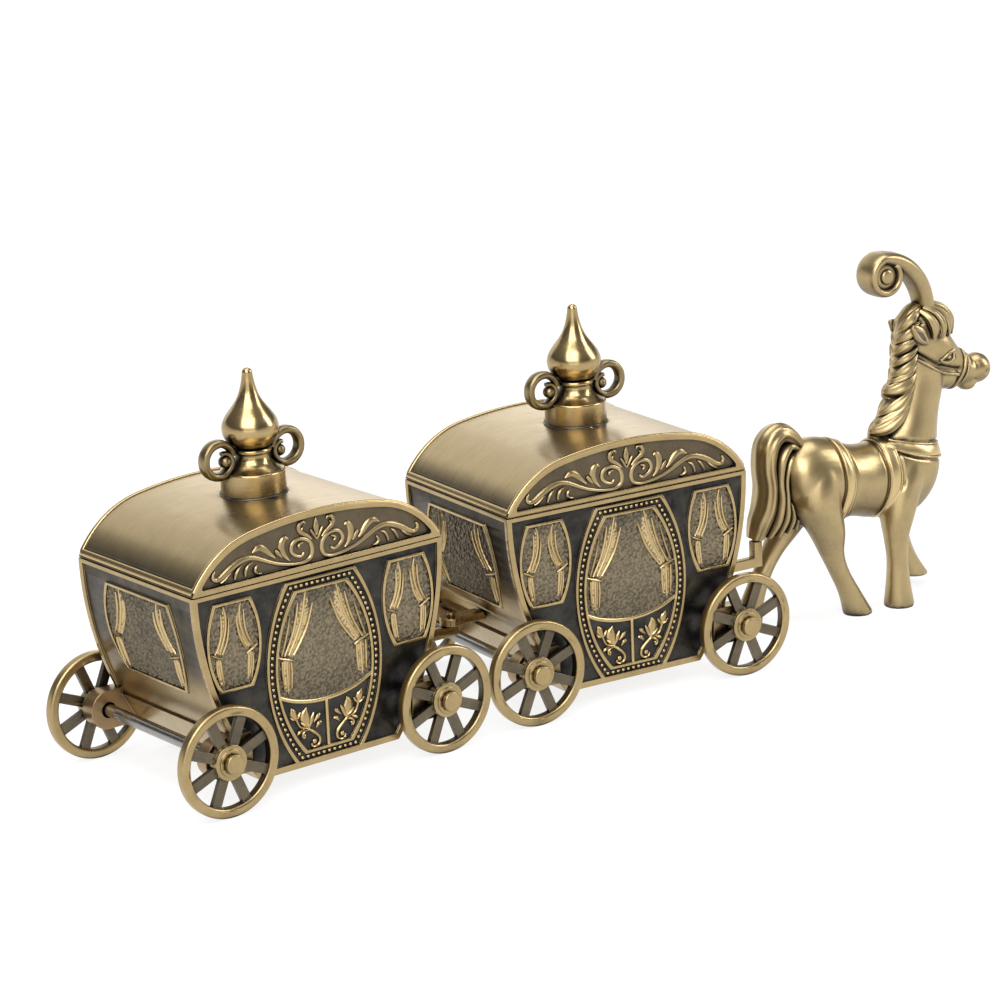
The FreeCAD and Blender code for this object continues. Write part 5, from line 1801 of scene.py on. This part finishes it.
@dataclass
class Studio:
    """The floor, the lamps and the camera at the photo's view, in metres and degrees."""

    floor_tone: float = 0.86
    floor_half: float = 40.0
    floor_glow: float = 1.1
    glow_share: float = 0.75
    low_tone: Triple = (0.09, 0.09, 0.095)
    high_tone: Triple = (0.26, 0.26, 0.26)
    tone_span: Span = (0.05, 0.8)
    horizon: float = 0.86
    horizon_top: float = 0.17
    azimuth: float = -31.3646
    elevation: float = 15.5315
    roll: float = -2.3285
    sensor: float = 36.0
    focal_share: float = 3.4374875
    near_clip: float = 0.01
    station: Triple = (-0.369915, -0.577340, 0.229863)

    def build(self) -> None:
        """Make the whole studio."""
        bpy.context.scene.view_settings.view_transform = "Standard"
        self.floor()
        self.world()
        self.lamps()
        self.camera()

    def floor(self) -> None:
        """Make the pale floor, which keeps a faint shadow."""
        bm = bmesh.new()
        bmesh.ops.create_grid(bm, x_segments=1, y_segments=1, size=self.floor_half)
        piece = hold("studio_floor", bm)
        material = bpy.data.materials.new("pale_floor")
        material.use_nodes = True
        desk = NodeDesk(material.node_tree)
        material.node_tree.nodes.clear()
        path = desk.add("ShaderNodeLightPath").outputs
        seen = desk.sum("MAXIMUM", path["Is Camera Ray"], path["Is Glossy Ray"])
        seen = desk.sum("MAXIMUM", seen, path["Is Transmission Ray"])
        share = desk.sum("MULTIPLY", seen, self.glow_share)
        matt = desk.add("ShaderNodeBsdfDiffuse", {"Color": (self.floor_tone,) * 3 + (1.0,)})
        glow = desk.add("ShaderNodeEmission", {"Color": (1.0,) * 4, "Strength": self.floor_glow})
        mixed = desk.add("ShaderNodeMixShader", {0: share, 1: matt.outputs[0], 2: glow.outputs[0]})
        desk.add("ShaderNodeOutputMaterial", {"Surface": mixed.outputs[0]})
        piece.data.materials.append(material)

    def world(self) -> None:
        """Make the soft surrounding light, paler overhead and pale at the horizon."""
        world = bpy.data.worlds.new("studio_light")
        bpy.context.scene.world = world
        world.use_nodes = True
        desk = NodeDesk(world.node_tree)
        world.node_tree.nodes.clear()
        rise = desk.parts(desk.add("ShaderNodeTexCoord").outputs["Generated"])["Z"]
        tone = desk.blend(desk.spread(rise, *self.tone_span), (*self.low_tone, 1.0), (*self.high_tone, 1.0))
        pale = desk.sum("LESS_THAN", rise, self.horizon_top)
        tone = desk.blend(pale, tone, (self.horizon,) * 3 + (1.0,))
        light = desk.add("ShaderNodeBackground", {"Color": tone, "Strength": 1.0})
        desk.add("ShaderNodeOutputWorld", {"Surface": light.outputs[0]})

    def lamps(self) -> None:
        """Hang the broad lamps."""
        for plan in LAMPS:
            lamp = bpy.data.lights.new(plan.name, "AREA")
            lamp.shape = "RECTANGLE"
            lamp.size = plan.wide
            lamp.size_y = plan.tall
            lamp.energy = plan.power
            holder = bpy.data.objects.new(plan.name, lamp)
            holder.location = plan.place
            back = Vector(plan.place) - Vector(plan.aim)
            holder.rotation_euler = back.to_track_quat("Z", "Y").to_euler()
            bpy.context.scene.collection.objects.link(holder)

    def camera(self) -> None:
        """Set the camera where the photo was taken."""
        lens = bpy.data.cameras.new("photo_camera")
        lens.sensor_fit = "HORIZONTAL"
        lens.sensor_width = self.sensor
        lens.lens = self.sensor * self.focal_share
        lens.clip_start = self.near_clip
        holder = bpy.data.objects.new("photo_camera", lens)
        turn = Matrix.Rotation(math.radians(self.azimuth), 4, "Z")
        tip = Matrix.Rotation(math.radians(HALF_TURN / 2 - self.elevation), 4, "X")
        lean = Matrix.Rotation(math.radians(self.roll), 4, "Z")
        holder.matrix_world = Matrix.Translation(self.station) @ turn @ tip @ lean
        bpy.context.scene.collection.objects.link(holder)
        bpy.context.scene.camera = holder


def dress_nodes(shop: MaterialShop) -> None:
    """Give the plain nodes that stay the finishes of their slots.

    Args:
        shop: Where the finishes are made.
    """
    for name in frame["nodes"]:
        for word, tone in (("finial", Tone.FINIAL), ("screw", Tone.STEEL)):
            if word in name:
                mesh = bpy.data.objects[name].data
                mesh.materials.clear()
                mesh.materials.append(shop.get(tone))


def main() -> None:
    """Build everything in order."""
    logging.basicConfig(level=logging.INFO, format="%(name)s %(message)s")
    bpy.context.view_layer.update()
    for item in list(bpy.data.objects):
        if item.name in STARTUP_OBJECTS:
            bpy.data.objects.remove(item)
    shop = MaterialShop()
    dress_nodes(shop)
    front, rear = Carriage("front", shop, False), Carriage("rear", shop, True)
    front.build()
    rear.build()
    Horse(shop, front.place).build()
    Studio().build()


if __name__ == "__main__":
    main()
